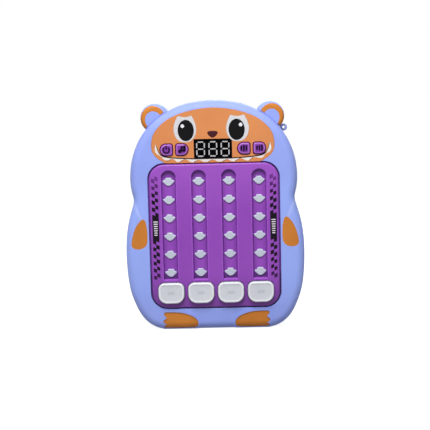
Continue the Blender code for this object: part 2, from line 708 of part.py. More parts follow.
def ear_skins(name, inset):
    bm = bmesh.new()
    for side in (-1, 1):
        outline = circle(ear_centre(side), EAR_RADIUS, 2 * CIRCLE_STEPS)
        near, far = EAR_FRONT + inset, EAR_BACK - inset
        add_loft(bm, slab_rings(outline, inset, near, far, EAR_EDGE - inset, CASE_EDGE_STEPS))
    return place(name, bm)


def build_cover(skins):
    """The silicone cover: front wall, sides and a lip behind, with ears, windows and inlay pockets."""
    outline = body_outline()
    outside = slab_rings(outline, 0.0, 0.0, BODY_DEPTH, COVER_EDGE, COVER_EDGE_STEPS)
    lip_front = BODY_DEPTH - LIP_THICKNESS
    lip = rings_at(outline, [(LIP_WIDTH, BODY_DEPTH), (LIP_WIDTH, lip_front)])
    inside = slab_rings(outline, COVER_WALL, COVER_WALL, lip_front, COVER_EDGE - COVER_WALL, CASE_EDGE_STEPS)
    bm = bmesh.new()
    add_loft(bm, [*outside, *lip, *reversed(inside)])
    cover = place("silicone_cover", bm, "periwinkle_silicone")

    ears = ear_skins("ear_lumps", 0.0)
    combine(ears, skins["case_space"], "DIFFERENCE")
    combine(cover, ears, "UNION")

    window = prisms("panel_window", [panel_outline(WINDOW_GAP)], -OVERRUN, COVER_WALL + OVERRUN)
    combine(cover, window, "DIFFERENCE")

    pocket = INLAY_THICKNESS + GAP
    face_pocket = prisms("face_pocket", [face_outline(GAP)], -OVERRUN, pocket)
    combine(cover, face_pocket, "DIFFERENCE")
    limbs = [outline_of(side, GAP) for side in (-1, 1) for outline_of in (hand_outline, foot_outline)]
    limb_pockets = prisms("limb_pockets", limbs, -OVERRUN, COVER_EDGE)
    combine(limb_pockets, skins["body_pocket"], "DIFFERENCE")
    combine(cover, limb_pockets, "DIFFERENCE")
    ear_rings = [ear_ring_outline(side, GAP) for side in (-1, 1)]
    ear_pockets = prisms("ear_pockets", ear_rings, EAR_FRONT - OVERRUN, EAR_FRONT + EAR_EDGE + pocket)
    combine(ear_pockets, skins["ear_pocket"], "DIFFERENCE")
    combine(ear_pockets, skins["head_keep"], "DIFFERENCE")
    combine(cover, ear_pockets, "DIFFERENCE")

    holes = [display_outline(GAP), *(key_outline(x, SLIDE_GAP) for x in key_places())]
    combine(cover, prisms("face_openings", holes, pocket - OVERRUN, COVER_WALL + OVERRUN), "DIFFERENCE")

    near, far = loop_depths()
    bm = bmesh.new()
    add_loop_shape(bm, LOOP_RADIUS + GAP, LOOP_NECK + 2 * GAP, near - GAP, far + GAP)
    combine(cover, place("loop_slot", bm), "DIFFERENCE")
    return cover


def key_places():
    return [-OUTER_KEY_X, -INNER_KEY_X, INNER_KEY_X, OUTER_KEY_X]


def build_inlays(skins):
    """Coloured silicone set flush in the cover: paws, feet, ear rings and the face."""
    limbs = (("hand", hand_outline), ("foot", foot_outline))
    for side, side_name in ((-1, "left"), (1, "right")):
        for limb, outline_of in limbs:
            bm = bmesh.new()
            add_prism(bm, outline_of(side), -OVERRUN, COVER_EDGE)
            inlay = place(f"{side_name}_{limb}_inlay", bm, "orange_silicone")
            combine(inlay, skins["body"], "INTERSECT")
            combine(inlay, skins["body_inlay"], "DIFFERENCE")
        bm = bmesh.new()
        add_prism(bm, ear_ring_outline(side), EAR_FRONT - OVERRUN, EAR_FRONT + EAR_EDGE + INLAY_THICKNESS)
        inlay = place(f"{side_name}_ear_inlay", bm, "orange_silicone")
        combine(inlay, skins["ear"], "INTERSECT")
        combine(inlay, skins["ear_inlay"], "DIFFERENCE")
        combine(inlay, skins["head_clear"], "DIFFERENCE")

    bm = bmesh.new()
    add_prism(bm, face_outline(), 0.0, INLAY_THICKNESS)
    face = place("face_inlay", bm, "orange_silicone")
    holes = {
        "key_holes": [key_outline(x, SLIDE_GAP) for x in key_places()],
        "display_hole": [display_outline(GAP)],
        "eye_holes": [eye_outline(side, GAP) for side in (-1, 1)],
        "nose_hole": [nose_outline(GAP)],
        "mouth_hole": [mouth_outline(GAP)],
    }
    for name, outlines in holes.items():
        combine(face, prisms(name, outlines, -OVERRUN, INLAY_THICKNESS + OVERRUN), "DIFFERENCE")

    for side, side_name in ((-1, "left"), (1, "right")):
        white = build_flat_inlay(f"{side_name}_eye_white", eye_outline(side), "white_silicone")
        pupil_hole = prisms(
            f"{side_name}_pupil_hole", [pupil_outline(side, GAP)], -OVERRUN, INLAY_THICKNESS + OVERRUN
        )
        combine(white, pupil_hole, "DIFFERENCE")
        build_flat_inlay(f"{side_name}_eye_pupil", pupil_outline(side), "black_silicone")
    build_flat_inlay("nose_inlay", nose_outline(), "brown_silicone")
    build_flat_inlay("teeth_inlay", mouth_outline(), "white_silicone")


def build_flat_inlay(name, outline, finish):
    bm = bmesh.new()
    add_prism(bm, outline, 0.0, INLAY_THICKNESS)
    return place(name, bm, finish)


# Case


def boss_places():
    """Pairs of bosses above the board, at its sides and below it."""
    half = BODY_WIDTH / 2
    middle_x, middle_z = MIDDLE_BOSS_SHARES
    pairs = (
        (UPPER_BOSS_SHARE * half, BOARD_HEAD + BOSS_ABOVE_BOARD + FRONT_BOSS_RADIUS),
        (middle_x * half, middle_z * BODY_HEIGHT),
        (LOWER_BOSS_SHARE * half, BOARD_FOOT - BOSS_BELOW_BOARD - FRONT_BOSS_RADIUS),
    )
    return [(side * x, z) for x, z in pairs for side in (-1, 1)]


def post_places():
    """Board posts between the lamp columns, and beside the display above the keys."""
    upper_z = BOARD_HEAD - POST_RADIUS - GAP
    lower_z = LAMP_Z[0] + ROW_PITCH / 3
    return [(side * PITCH, z) for z in (upper_z, lower_z) for side in (-1, 1)]


def stake_profile(root):
    """A post under the board, with a pin through it and a head melted over behind it."""
    return [
        (POST_RADIUS, root),
        (POST_RADIUS, BOARD_FRONT - GAP),
        (STAKE_RADIUS, BOARD_FRONT - GAP),
        (STAKE_RADIUS, BOARD_BACK + GAP),
        (STAKE_HEAD_RADIUS, BOARD_BACK + GAP),
        (STAKE_HEAD_RADIUS / 2, BOARD_BACK + GAP + STAKE_HEAD_HEIGHT),
    ]


def build_front_shell():
    """The purple half of the case: a tray whose raised panel shows through the cover's window."""
    outer_inset, inner_inset = CASE_INSET, CASE_INSET + SHELL_WALL
    outside = edge_stations(outer_inset, CASE_INSET, COVER_EDGE - CASE_INSET, CASE_EDGE_STEPS)
    inside = edge_stations(inner_inset, WALL_BACK, INNER_EDGE, CASE_EDGE_STEPS)
    stations = [*outside, (outer_inset, SPLIT), (inner_inset, SPLIT), *reversed(inside)]
    bm = bmesh.new()
    add_loft(bm, rings_at(body_outline(), stations))
    shell = place("front_shell", bm, "purple_plastic")

    window = [panel_outline(-PANEL_RIM / 2)]
    combine(shell, prisms("panel_hole", window, CASE_INSET - OVERRUN, WALL_BACK + OVERRUN), "DIFFERENCE")
    bm = bmesh.new()
    cup_back = WALL_BACK - SHELL_WALL / 4
    add_loft(
        bm,
        [
            ring(panel_outline(-PANEL_EDGE), -PANEL_PROUD),
            ring(panel_outline(-PANEL_EDGE / 4), PANEL_EDGE / 4 - PANEL_PROUD),
            ring(panel_outline(), PANEL_EDGE - PANEL_PROUD),
            ring(panel_outline(), cup_back),
            ring(panel_outline(-PANEL_RIM), cup_back),
            ring(panel_outline(-PANEL_RIM), PANEL_BACK),
        ],
    )
    combine(shell, place("panel_cup", bm), "UNION")

    bm = bmesh.new()
    for x in COLUMN_X:
        trough = groove_outline(x, -TROUGH_WALL, GROOVE_FOOT - TROUGH_WALL)
        add_prism(bm, trough, PANEL_BACK - EMBED, TROUGH_BACK)
    for place_of_boss in boss_places():
        add_turned(bm, place_of_boss, [(FRONT_BOSS_RADIUS, WALL_BACK - EMBED), (FRONT_BOSS_RADIUS, SPLIT)])
    for x, z in post_places():
        front = PANEL_BACK if z < PANEL_TOP else WALL_BACK
        add_turned(bm, (x, z), stake_profile(front - EMBED))
    combine(shell, place("front_shell_ribs", bm), "UNION")

    bm = bmesh.new()
    ramp_foot = GROOVE_FOOT - RAMP_SHARE * BUTTON_TO_GROOVE
    for x in COLUMN_X:
        floor = ring(groove_outline(x, GROOVE_DRAFT, GROOVE_FOOT), GROOVE_FLOOR_FRONT)
        surface = groove_outline(x, 0.0, ramp_foot)
        add_loft(bm, [floor, ring(surface, -PANEL_PROUD), ring(surface, -PANEL_PROUD - OVERRUN)])
    combine(shell, place("grooves", bm), "DIFFERENCE")

    bm = bmesh.new()
    for x in COLUMN_X:
        for z in LAMP_Z:
            add_prism(bm, gem_outline(x, z, GAP), GROOVE_FLOOR_FRONT - GAP, TROUGH_BACK + OVERRUN)
        add_prism(bm, button_outline(x, SLIDE_GAP), -PANEL_PROUD - OVERRUN, PANEL_BACK + OVERRUN)
    for x in key_places():
        add_prism(bm, key_outline(x, SLIDE_GAP), CASE_INSET - OVERRUN, WALL_BACK + OVERRUN)
    add_prism(bm, display_outline(GAP), CASE_INSET - OVERRUN, WALL_BACK + OVERRUN)
    hole = SCREW_RADIUS + GAP
    hole_end = SCREW_SEAT + GAP - SCREW_LENGTH - HOLE_END
    for place_of_boss in boss_places():
        add_turned(bm, place_of_boss, [(hole, hole_end), (hole, SPLIT + OVERRUN)])
    combine(shell, place("front_shell_holes", bm), "DIFFERENCE")


def loop_centre():
    """The strap loop's centre, just outside the cover on the player's right."""
    half, height = BODY_WIDTH / 2, BODY_HEIGHT
    return Vector((LOOP_SHARES[0] * half, LOOP_SHARES[1] * height)) + loop_direction() * LOOP_REACH


def loop_direction():
    """Outwards from the body, square to its edge beside the ear."""
    half, height = BODY_WIDTH / 2, BODY_HEIGHT
    above, below = (Vector((x * half, z * height)) for x, z in HEAD_SHARES[5:7])
    along = (below - above).normalized()
    return Vector((-along.y, along.x))


def loop_depths():
    near = EAR_BACK + LOOP_BEHIND_EAR
    return near, near + LOOP_THICKNESS


def add_loop_shape(bm, radius, neck, near, far):
    """A disc with a neck that runs inwards to the case wall, as one outline."""
    centre, outwards = loop_centre(), loop_direction()
    across = Vector((-outwards.y, outwards.x))
    reach = LOOP_REACH + CASE_INSET + SHELL_WALL / 2
    opening = math.asin(neck / 2 / radius)
    start = math.atan2(-outwards.y, -outwards.x) + opening
    sweep = 2 * math.pi - 2 * opening
    arc = [start + sweep * step / CIRCLE_STEPS for step in range(CIRCLE_STEPS + 1)]
    outline = [tuple(centre + Vector((math.cos(t), math.sin(t))) * radius) for t in arc]
    inner = centre - outwards * reach
    outline += [tuple(inner + across * neck / 2), tuple(inner - across * neck / 2)]
    add_prism(bm, outline, near, far)


def build_rear_shell():
    """The violet-blue half of the case, with the battery bay, speaker seat, bosses and strap loop."""
    outer_inset, inner_inset, split = CASE_INSET, CASE_INSET + SHELL_WALL, SPLIT + GAP
    shoulder = edge_stations(outer_inset, SHOULDER, CASE_INSET - COVER_EDGE, CASE_EDGE_STEPS)
    stations = [
        (PLATEAU_INSET, CASE_BACK),
        (PLATEAU_INSET, SHOULDER),
        *shoulder,
        (outer_inset, split),
        (inner_inset, split),
        (inner_inset, SHOULDER - SHELL_WALL),
        (PLATEAU_INSET + SHELL_WALL, SHOULDER - SHELL_WALL),
        (PLATEAU_INSET + SHELL_WALL, CASE_WALL_FRONT),
    ]
    bm = bmesh.new()
    add_loft(bm, rings_at(body_outline(), stations))
    shell = place("rear_shell", bm, "violet_blue_plastic")

    root = CASE_WALL_FRONT + EMBED
    bay_half = BAY_LENGTH / 2 + BAY_WALL
    bay_low, bay_high = BAY_Z - BAY_HEIGHT / 2 - BAY_WALL, BAY_Z + BAY_HEIGHT / 2 + BAY_WALL
    bm = bmesh.new()
    add_box(bm, (-bay_half, bay_half), (BAY_FLOOR_FRONT, root), (bay_low, bay_high))
    combine(shell, place("bay_box", bm), "UNION")
    bm = bmesh.new()
    tongue_half = TONGUE_WIDTH / 2 + BAY_WALL
    tongue_front = DOOR_FRONT - DOOR_SCREW_LENGTH - HOLE_END - BAY_FLOOR
    add_box(bm, (-tongue_half, tongue_half), (tongue_front, root), (bay_high - EMBED, TONGUE_HEAD + DOOR_RIM))
    boss_root = (CASE_WALL_FRONT + SHOULDER) / 2
    for place_of_boss in boss_places():
        add_turned(bm, place_of_boss, [(REAR_BOSS_RADIUS, SPLIT + GAP), (REAR_BOSS_RADIUS, boss_root)])
    combine(shell, place("rear_shell_ribs", bm), "UNION")
    bm = bmesh.new()
    ring_inner = SPEAKER_RADIUS + GAP
    ring_outer = ring_inner + SPEAKER_RING_WALL
    ring_front = CASE_WALL_FRONT - SPEAKER_RING_DEPTH
    seat = [(ring_outer, root), (ring_outer, ring_front), (ring_inner, ring_front)]
    seat.append((ring_inner, CASE_WALL_FRONT))
    add_turned(bm, (0.0, SPEAKER_Z), seat, 2 * CIRCLE_STEPS)
    combine(shell, place("speaker_seat", bm), "UNION")
    bm = bmesh.new()
    add_loop_shape(bm, LOOP_RADIUS, LOOP_NECK, *loop_depths())
    combine(shell, place("strap_loop", bm), "UNION")

    bm = bmesh.new()
    half_length, half_height = BAY_LENGTH / 2, BAY_HEIGHT / 2
    bay_x, bay_z = (-half_length, half_length), (BAY_Z - half_height, BAY_Z + half_height)
    add_box(bm, bay_x, (BAY_FLOOR_BACK, CASE_BACK + OVERRUN), bay_z)
    near, far = loop_depths()
    loop_hole = [(LOOP_HOLE_RADIUS, near - OVERRUN), (LOOP_HOLE_RADIUS, far + OVERRUN)]
    add_turned(bm, loop_centre(), loop_hole)
    head_hole, shank_hole = SCREW_HEAD_RADIUS + GAP, SCREW_RADIUS + GAP
    for place_of_boss in boss_places():
        steps = [(head_hole, CASE_BACK + OVERRUN), (head_hole, SCREW_SEAT), (shank_hole, SCREW_SEAT)]
        add_turned(bm, place_of_boss, [*steps, (shank_hole, SPLIT + GAP - OVERRUN)])
    through = (CASE_WALL_FRONT - EMBED, CASE_BACK + OVERRUN)
    for hole in grille_places():
        add_turned(bm, hole, [(GRILLE_HOLE_RADIUS, depth) for depth in through], GRILLE_SIDES)
    combine(shell, place("rear_shell_holes", bm), "DIFFERENCE")
    bm = bmesh.new()
    for side in (-1, 1):
        wall_end = half_length + BAY_WALL + OVERRUN
        wall_x = sorted((side * (half_length - GAP), side * wall_end))
        tab_half = TAB_WIDTH / 2 + GAP
        cell_z = CELL_Z[-1] if side < 0 else CELL_Z[0]
        tab_depth = (CELL_AXIS - tab_half, CELL_AXIS + tab_half)
        slot_half = PLATE_THICKNESS / 2 + GAP
        add_box(bm, wall_x, tab_depth, (cell_z - slot_half, cell_z + slot_half))
    combine(shell, place("contact_tab_slots", bm), "DIFFERENCE")

    bm = bmesh.new()
    add_prism(bm, door_outline(GAP), DOOR_FRONT - GAP, CASE_BACK + OVERRUN)
    combine(shell, place("door_recess", bm), "DIFFERENCE")
    bm = bmesh.new()
    screw_hole = SCREW_RADIUS + 3 * GAP
    hole_front = DOOR_FRONT - DOOR_SCREW_LENGTH - HOLE_END
    add_turned(bm, (0.0, DOOR_SCREW_Z), [(screw_hole, hole_front), (screw_hole, DOOR_FRONT)])
    for side in (-1, 1):
        x = side * BAY_LENGTH / 4
        half = DOOR_TAB_WIDTH / 2 + GAP
        low = DOOR_FOOT - DOOR_TAB_HEIGHT - 2 * GAP
        depths = (DOOR_FRONT - DOOR_TAB_THICKNESS, DOOR_FRONT + DOOR_TAB_THICKNESS + GAP)
        add_box(bm, (x - half, x + half), depths, (low, DOOR_FOOT + 2 * GAP))
    combine(shell, place("door_catches", bm), "DIFFERENCE")


def grille_places():
    """Round holes over the speaker: one in the middle with rings of six, twelve and so on about it."""
    places = [(0.0, SPEAKER_Z)]
    for ring_number in range(1, GRILLE_RINGS + 1):
        places += circle((0.0, SPEAKER_Z), ring_number * GRILLE_PITCH, 6 * ring_number)
    return places


# Buttons, keys, lamps and the display


def button_origin(x):
    return (x, FRONT_Y + PANEL_BACK, BUTTON_Z)


def build_play_buttons():
    """White caps with a flange that stops them behind the panel, and the domes that push them back."""
    front = -PANEL_PROUD - BUTTON_PROUD
    flange_front = PANEL_BACK + GAP
    flange_back = flange_front + BUTTON_FLANGE_THICKNESS
    ceiling = front + BUTTON_WALL
    for number, x in enumerate(COLUMN_X, start=1):
        centre = (x, BUTTON_Z)
        hollow = button_outline(x, -BUTTON_WALL)
        stem = circle_like(hollow, centre, STEM_RADIUS)
        bm = bmesh.new()
        add_loft(
            bm,
            [
                ring(button_outline(x, -2 * BUTTON_EDGE), front),
                ring(button_outline(x, -BUTTON_EDGE / 2), front + BUTTON_EDGE / 2),
                ring(button_outline(x), front + 2 * BUTTON_EDGE),
                ring(button_outline(x), flange_front),
                ring(button_outline(x, BUTTON_FLANGE), flange_front),
                ring(button_outline(x, BUTTON_FLANGE), flange_back),
                ring(hollow, flange_back),
                ring(hollow, ceiling),
                ring(stem, ceiling),
                ring(stem, DOME_FRONT - GAP),
            ],
        )
        place(f"play_button_{number}", bm, "white_plastic", button_origin(x))

        bm = bmesh.new()
        inner_top, inner_foot = DOME_TOP_RADIUS - DOME_WALL, DOME_FOOT_RADIUS - 2 * DOME_WALL
        profile = [
            (DOME_TOP_RADIUS, DOME_FRONT),
            (DOME_FOOT_RADIUS - DOME_WALL, DOME_BACK - DOME_WALL),
            (DOME_FOOT_RADIUS, DOME_BACK - DOME_WALL),
            (DOME_FOOT_RADIUS, DOME_BACK),
            (inner_foot, DOME_BACK),
            (inner_top, DOME_FRONT + DOME_WALL),
        ]
        add_turned(bm, centre, profile)
        place(f"button_dome_{number}", bm, "translucent_rubber", (x, FRONT_Y + DOME_BACK, BUTTON_Z))


def build_keys():
    """The four small keys and the switch plungers that they press."""
    names = ("power", "music", "volume", "tempo")
    flange_front = WALL_BACK + GAP
    for name, x in zip(names, key_places()):
        bm = bmesh.new()
        add_loft(
            bm,
            [
                ring(key_outline(x, -KEY_EDGE), -KEY_PROUD),
                ring(key_outline(x), KEY_EDGE - KEY_PROUD),
                ring(key_outline(x), flange_front),
                ring(key_outline(x, KEY_FLANGE), flange_front),
                ring(key_outline(x, KEY_FLANGE), KEY_BACK),
            ],
        )
        place(f"{name}_button", bm, "purple_plastic", (x, FRONT_Y + WALL_BACK, KEY_Z))
        bm = bmesh.new()
        profile = [(PLUNGER_RADIUS, PLUNGER_FRONT), (PLUNGER_RADIUS, SWITCH_FRONT + PLUNGER_HELD)]
        add_turned(bm, (x, KEY_Z), profile)
        place(f"{name}_plunger", bm, "black_plastic", (x, FRONT_Y + SWITCH_FRONT, KEY_Z))


def build_lenses():
    """A lens strip for each column, with a gem through each of the column's holes."""
    plate_front = TROUGH_BACK + GAP
    plate_back = plate_front + LENS_PLATE
    gem_front = GROOVE_FLOOR_FRONT - GEM_PROUD
    for number, x in enumerate(COLUMN_X, start=1):
        bm = bmesh.new()
        foot = GROOVE_FOOT + LENS_EDGE
        add_prism(bm, groove_outline(x, LENS_EDGE / 4, foot), plate_front, plate_back)
        strip = place(f"lens_strip_{number}", bm, "frosted_lens")
        gems = [gem_outline(x, z) for z in LAMP_Z]
        combine(strip, prisms(f"gems_{number}", gems, gem_front, plate_back - LENS_PLATE / 2), "UNION")


def segment_outline(centre, length, upright):
    """A long hexagon, pointed at both ends."""
    half, thick = length / 2, SEGMENT_WIDTH / 2
    flank = half - thick
    points = [(-half, 0.0), (-flank, -thick), (flank, -thick), (half, 0.0), (flank, thick), (-flank, thick)]
    if upright:
        points = [(-z, x) for x, z in points]
    return [(centre[0] + x, centre[1] + z) for x, z in points]


def build_display():
    """The display block, with the segments of its digits a little proud of its face."""
    bm = bmesh.new()
    add_prism(bm, display_outline(), DISPLAY_RECESS, BOARD_FRONT - GAP)
    module = place("display_module", bm, "black_plastic")
    outlines = []
    across, rise = DIGIT_WIDTH - SEGMENT_WIDTH, (DIGIT_HEIGHT - SEGMENT_WIDTH) / 2
    for digit in range(DIGITS):
        x = (digit - (DIGITS - 1) / 2) * DIGIT_PITCH
        for level in (-1, 0, 1):
            outlines.append(segment_outline((x, KEY_Z + level * rise), across - 2 * SEGMENT_GAP, False))
        for side in (-1, 1):
            for level in (-1, 1):
                centre = (x + side * across / 2, KEY_Z + level * rise / 2)
                outlines.append(segment_outline(centre, rise - 2 * SEGMENT_GAP, True))
    segments = prisms("display_segments", outlines, DISPLAY_RECESS - SEGMENT_PROUD, DISPLAY_RECESS + EMBED)
    combine(module, segments, "UNION")


def build_board():
    """The circuit board, with its lamps, push switches and controller chip soldered to it."""
    height = BOARD_HEAD - BOARD_FOOT
    centre = (0.0, BOARD_FOOT + height / 2)
    bm = bmesh.new()
    add_prism(bm, rounded(2 * BOARD_HALF_WIDTH, height, centre, [BOARD_RADIUS] * 4), BOARD_FRONT, BOARD_BACK)
    board = place("main_board", bm, "board_green")

    bm = bmesh.new()
    half_width, half_height = CHIP_WIDTH / 2, CHIP_HEIGHT / 2
    for x in COLUMN_X:
        for z in LAMP_Z:
            depths = (BOARD_FRONT - CHIP_DEPTH, BOARD_FRONT + EMBED)
            add_box(bm, (x - half_width, x + half_width), depths, (z - half_height, z + half_height))
    half = SWITCH_SIDE / 2
    for x in key_places():
        add_box(bm, (x - half, x + half), (SWITCH_FRONT, BOARD_FRONT + EMBED), (KEY_Z - half, KEY_Z + half))
    half = MCU_SIDE / 2
    z = SPEAKER_Z + SPEAKER_RADIUS - half
    chip_depths = (BOARD_BACK - EMBED / 2, BOARD_BACK + MCU_THICKNESS)
    add_box(bm, (PITCH - half, PITCH + half), chip_depths, (z - half, z + half))
    combine(board, place("board_components", bm), "UNION")

    bm = bmesh.new()
    bore = PLUNGER_RADIUS + GAP
    for x in key_places():
        add_turned(bm, (x, KEY_Z), [(bore, SWITCH_FRONT - OVERRUN), (bore, SWITCH_FRONT + SWITCH_BORE_DEPTH)])
    hole = STAKE_RADIUS + GAP
    for place_of_post in post_places():
        add_turned(bm, place_of_post, [(hole, BOARD_FRONT - OVERRUN), (hole, BOARD_BACK + OVERRUN)])
    combine(board, place("board_holes", bm), "DIFFERENCE")


def add_screw(bm, centre, seat, head_radius, head_height, length):
    """A screw driven forwards, with its head behind the seat."""
    under_head = seat + GAP
    top = under_head + head_height
    profile = [
        (SCREW_RADIUS, under_head - length),
        (SCREW_RADIUS, under_head),
        (head_radius, under_head),
        (head_radius, top - SLOT_DEPTH / 2),
        (head_radius - SLOT_DEPTH / 2, top),
    ]
    add_turned(bm, centre, profile)


def add_screw_slot(bm, centre, top, head_radius):
    reach = head_radius * SLOT_REACH_SHARE
    half = SLOT_WIDTH / 2
    x, z = centre
    arms = [(half, half), (half, reach), (-half, reach), (-half, half), (-reach, half), (-reach, -half)]
    arms += [(-half, -half), (-half, -reach), (half, -reach), (half, -half), (reach, -half), (reach, half)]
    add_prism(bm, [(x + px, z + pz) for px, pz in arms], top - SLOT_DEPTH, top + OVERRUN)


def build_screw(name, centre, seat, head_height, length):
    bm = bmesh.new()
    add_screw(bm, centre, seat, SCREW_HEAD_RADIUS, head_height, length)
    screw = place(name, bm, "steel")
    bm = bmesh.new()
    add_screw_slot(bm, centre, seat + GAP + head_height, SCREW_HEAD_RADIUS)
    combine(screw, place(f"{name}_slot", bm), "DIFFERENCE")


def build_screws():
    """Case screws, driven from behind, and the captive screw of the battery door."""
    for number, centre in enumerate(boss_places(), start=1):
        build_screw(f"case_screw_{number}", centre, SCREW_SEAT, SCREW_HEAD_HEIGHT, SCREW_LENGTH)
    door_seat = DOOR_FRONT + DOOR_THICKNESS / 2
    length = DOOR_SCREW_LENGTH + DOOR_THICKNESS / 2
    build_screw("door_screw", (0.0, DOOR_SCREW_Z), door_seat, DOOR_THICKNESS / 2 - GAP, length)


# Battery bay and speaker


def build_door():
    """The battery door, hinged on two tabs at its foot; its origin is on the line that it turns about."""
    hinge = (0.0, FRONT_Y + CASE_BACK, DOOR_FOOT)
    bm = bmesh.new()
    add_prism(bm, door_outline(), DOOR_FRONT, CASE_BACK)
    door = place("battery_door", bm, "violet_blue_plastic", hinge)
    bm = bmesh.new()
    for side in (-1, 1):
        x = side * BAY_LENGTH / 4
        half = DOOR_TAB_WIDTH / 2
        tab_z = (DOOR_FOOT - DOOR_TAB_HEIGHT, DOOR_FOOT + EMBED)
        inner_face = DOOR_FRONT + GAP / 2
        add_box(bm, (x - half, x + half), (inner_face, inner_face + DOOR_TAB_THICKNESS), tab_z)
    combine(door, place("door_tabs", bm), "UNION")
    bm = bmesh.new()
    seat = DOOR_FRONT + DOOR_THICKNESS / 2
    head, shank = SCREW_HEAD_RADIUS + GAP, SCREW_RADIUS + GAP
    profile = [(head, CASE_BACK + OVERRUN), (head, seat), (shank, seat), (shank, DOOR_FRONT - OVERRUN)]
    add_turned(bm, (0.0, DOOR_SCREW_Z), profile)
    combine(door, place("door_screw_hole", bm), "DIFFERENCE")


def build_cells():
    """Three cells side by side, each one turned end for end from the one before."""
    half = BAY_LENGTH / 2
    plate_end = half - GAP - PLATE_THICKNESS
    for number, z in enumerate(CELL_Z, start=1):
        side = 1 if number % 2 == 0 else -1
        nub_x = side * (plate_end - GAP)
        shoulder_x = nub_x - side * NUB_LENGTH
        tail_x = shoulder_x - side * CELL_LENGTH
        bm = bmesh.new()
        axis_y = FRONT_Y + CELL_AXIS
        nub, body = NUB_RADIUS, CELL_RADIUS
        stations = ((nub_x, nub), (shoulder_x, nub), (shoulder_x, body), (tail_x, body))
        rings = []
        for x, radius in stations:
            rings.append([Vector((x, axis_y + y, z + dz)) for y, dz in circle((0.0, 0.0), radius)])
        add_loft(bm, rings)
        place(f"battery_{number}", bm, "cell_jacket")


def spring_route(side, z, plate_end):
    """A tapering coil from a contact plate towards the flat end of a cell."""
    length = SPRING_LENGTH + GAP - SPRING_WIRE
    points = int(SPRING_TURNS * SPRING_STEPS)
    route = []
    for i in range(points + 1):
        turn = 2 * math.pi * SPRING_TURNS * i / points
        radius = SPRING_RADIUS * (1 - SPRING_TAPER_SHARE * i / points)
        x = side * (plate_end - length * i / points)
        route.append((x, FRONT_Y + CELL_AXIS + radius * math.cos(turn), z + radius * math.sin(turn)))
    return route


def build_contacts():
    """The four sheet contacts that join the cells in a row: each one but the first has a spring."""
    half = BAY_LENGTH / 2
    plate_end = half - GAP - PLATE_THICKNESS
    reach = CELL_RADIUS - PLATE_MARGIN
    contacts = (
        ("contact_positive", -1, CELL_Z[2], CELL_Z[2], None, CELL_Z[2]),
        ("contact_link_upper", 1, CELL_Z[1], CELL_Z[2], CELL_Z[2], None),
        ("contact_link_lower", -1, CELL_Z[0], CELL_Z[1], CELL_Z[1], None),
        ("contact_negative", 1, CELL_Z[0], CELL_Z[0], CELL_Z[0], CELL_Z[0]),
    )
    for name, side, low, high, spring_z, tab_z in contacts:
        bm = bmesh.new()
        x_range = sorted((side * plate_end, side * (half - GAP)))
        add_box(bm, x_range, (CELL_AXIS - reach, CELL_AXIS + reach), (low - reach, high + reach))
        contact = place(name, bm, "nickel")
        if spring_z is not None:
            bm = bmesh.new()
            add_tube(bm, spring_route(side, spring_z, plate_end), SPRING_WIRE, SPRING_SIDES)
            combine(contact, place(f"{name}_spring", bm), "UNION")
        if tab_z is not None:
            bm = bmesh.new()
            tab_x = sorted((side * (half - GAP - PLATE_THICKNESS / 2), side * (half + BAY_WALL + TAB_REACH)))
            depths = (CELL_AXIS - TAB_WIDTH / 2, CELL_AXIS + TAB_WIDTH / 2)
            add_box(bm, tab_x, depths, (tab_z - PLATE_THICKNESS / 2, tab_z + PLATE_THICKNESS / 2))
            combine(contact, place(f"{name}_tab", bm), "UNION")


def build_speaker():
    """A small speaker that faces the grille: frame, cone and magnet."""
    centre = (0.0, SPEAKER_Z)
    face = CASE_WALL_FRONT - GAP
    neck = face - SPEAKER_FLANGE - SPEAKER_DEPTH
    rim = SPEAKER_RADIUS - SPEAKER_FLANGE
    bm = bmesh.new()
    profile = [
        (MAGNET_RADIUS, neck),
        (MAGNET_RADIUS + SPEAKER_FLANGE, neck),
        (rim, face - SPEAKER_FLANGE),
        (SPEAKER_RADIUS, face - SPEAKER_FLANGE),
        (SPEAKER_RADIUS, face),
        (rim - SPEAKER_FLANGE, face),
        (MAGNET_RADIUS, neck + SPEAKER_FLANGE),
    ]
    add_turned(bm, centre, profile, 2 * CIRCLE_STEPS)
    place("speaker_frame", bm, "black_plastic")
    bm = bmesh.new()
    add_turned(bm, centre, [(MAGNET_RADIUS, neck - GAP - MAGNET_DEPTH), (MAGNET_RADIUS, neck - GAP)])
    place("speaker_magnet", bm, "steel")
    bm = bmesh.new()
    cone_rim = rim - SPEAKER_FLANGE - GAP
    cone_front = neck + SPEAKER_FLANGE + GAP
    slope = (face - CONE_WALL - cone_front) / 2
    hub = MAGNET_RADIUS / 2
    profile = [
        (hub, cone_front),
        (MAGNET_RADIUS - GAP, cone_front),
        (cone_rim - CONE_WALL, face - CONE_WALL),
        (cone_rim - CONE_WALL, face),
        (cone_rim - 2 * CONE_WALL, face),
        (hub, cone_front + slope / 2),
    ]
    add_turned(bm, centre, profile, 2 * CIRCLE_STEPS)
    place("speaker_cone", bm, "paper_cone")


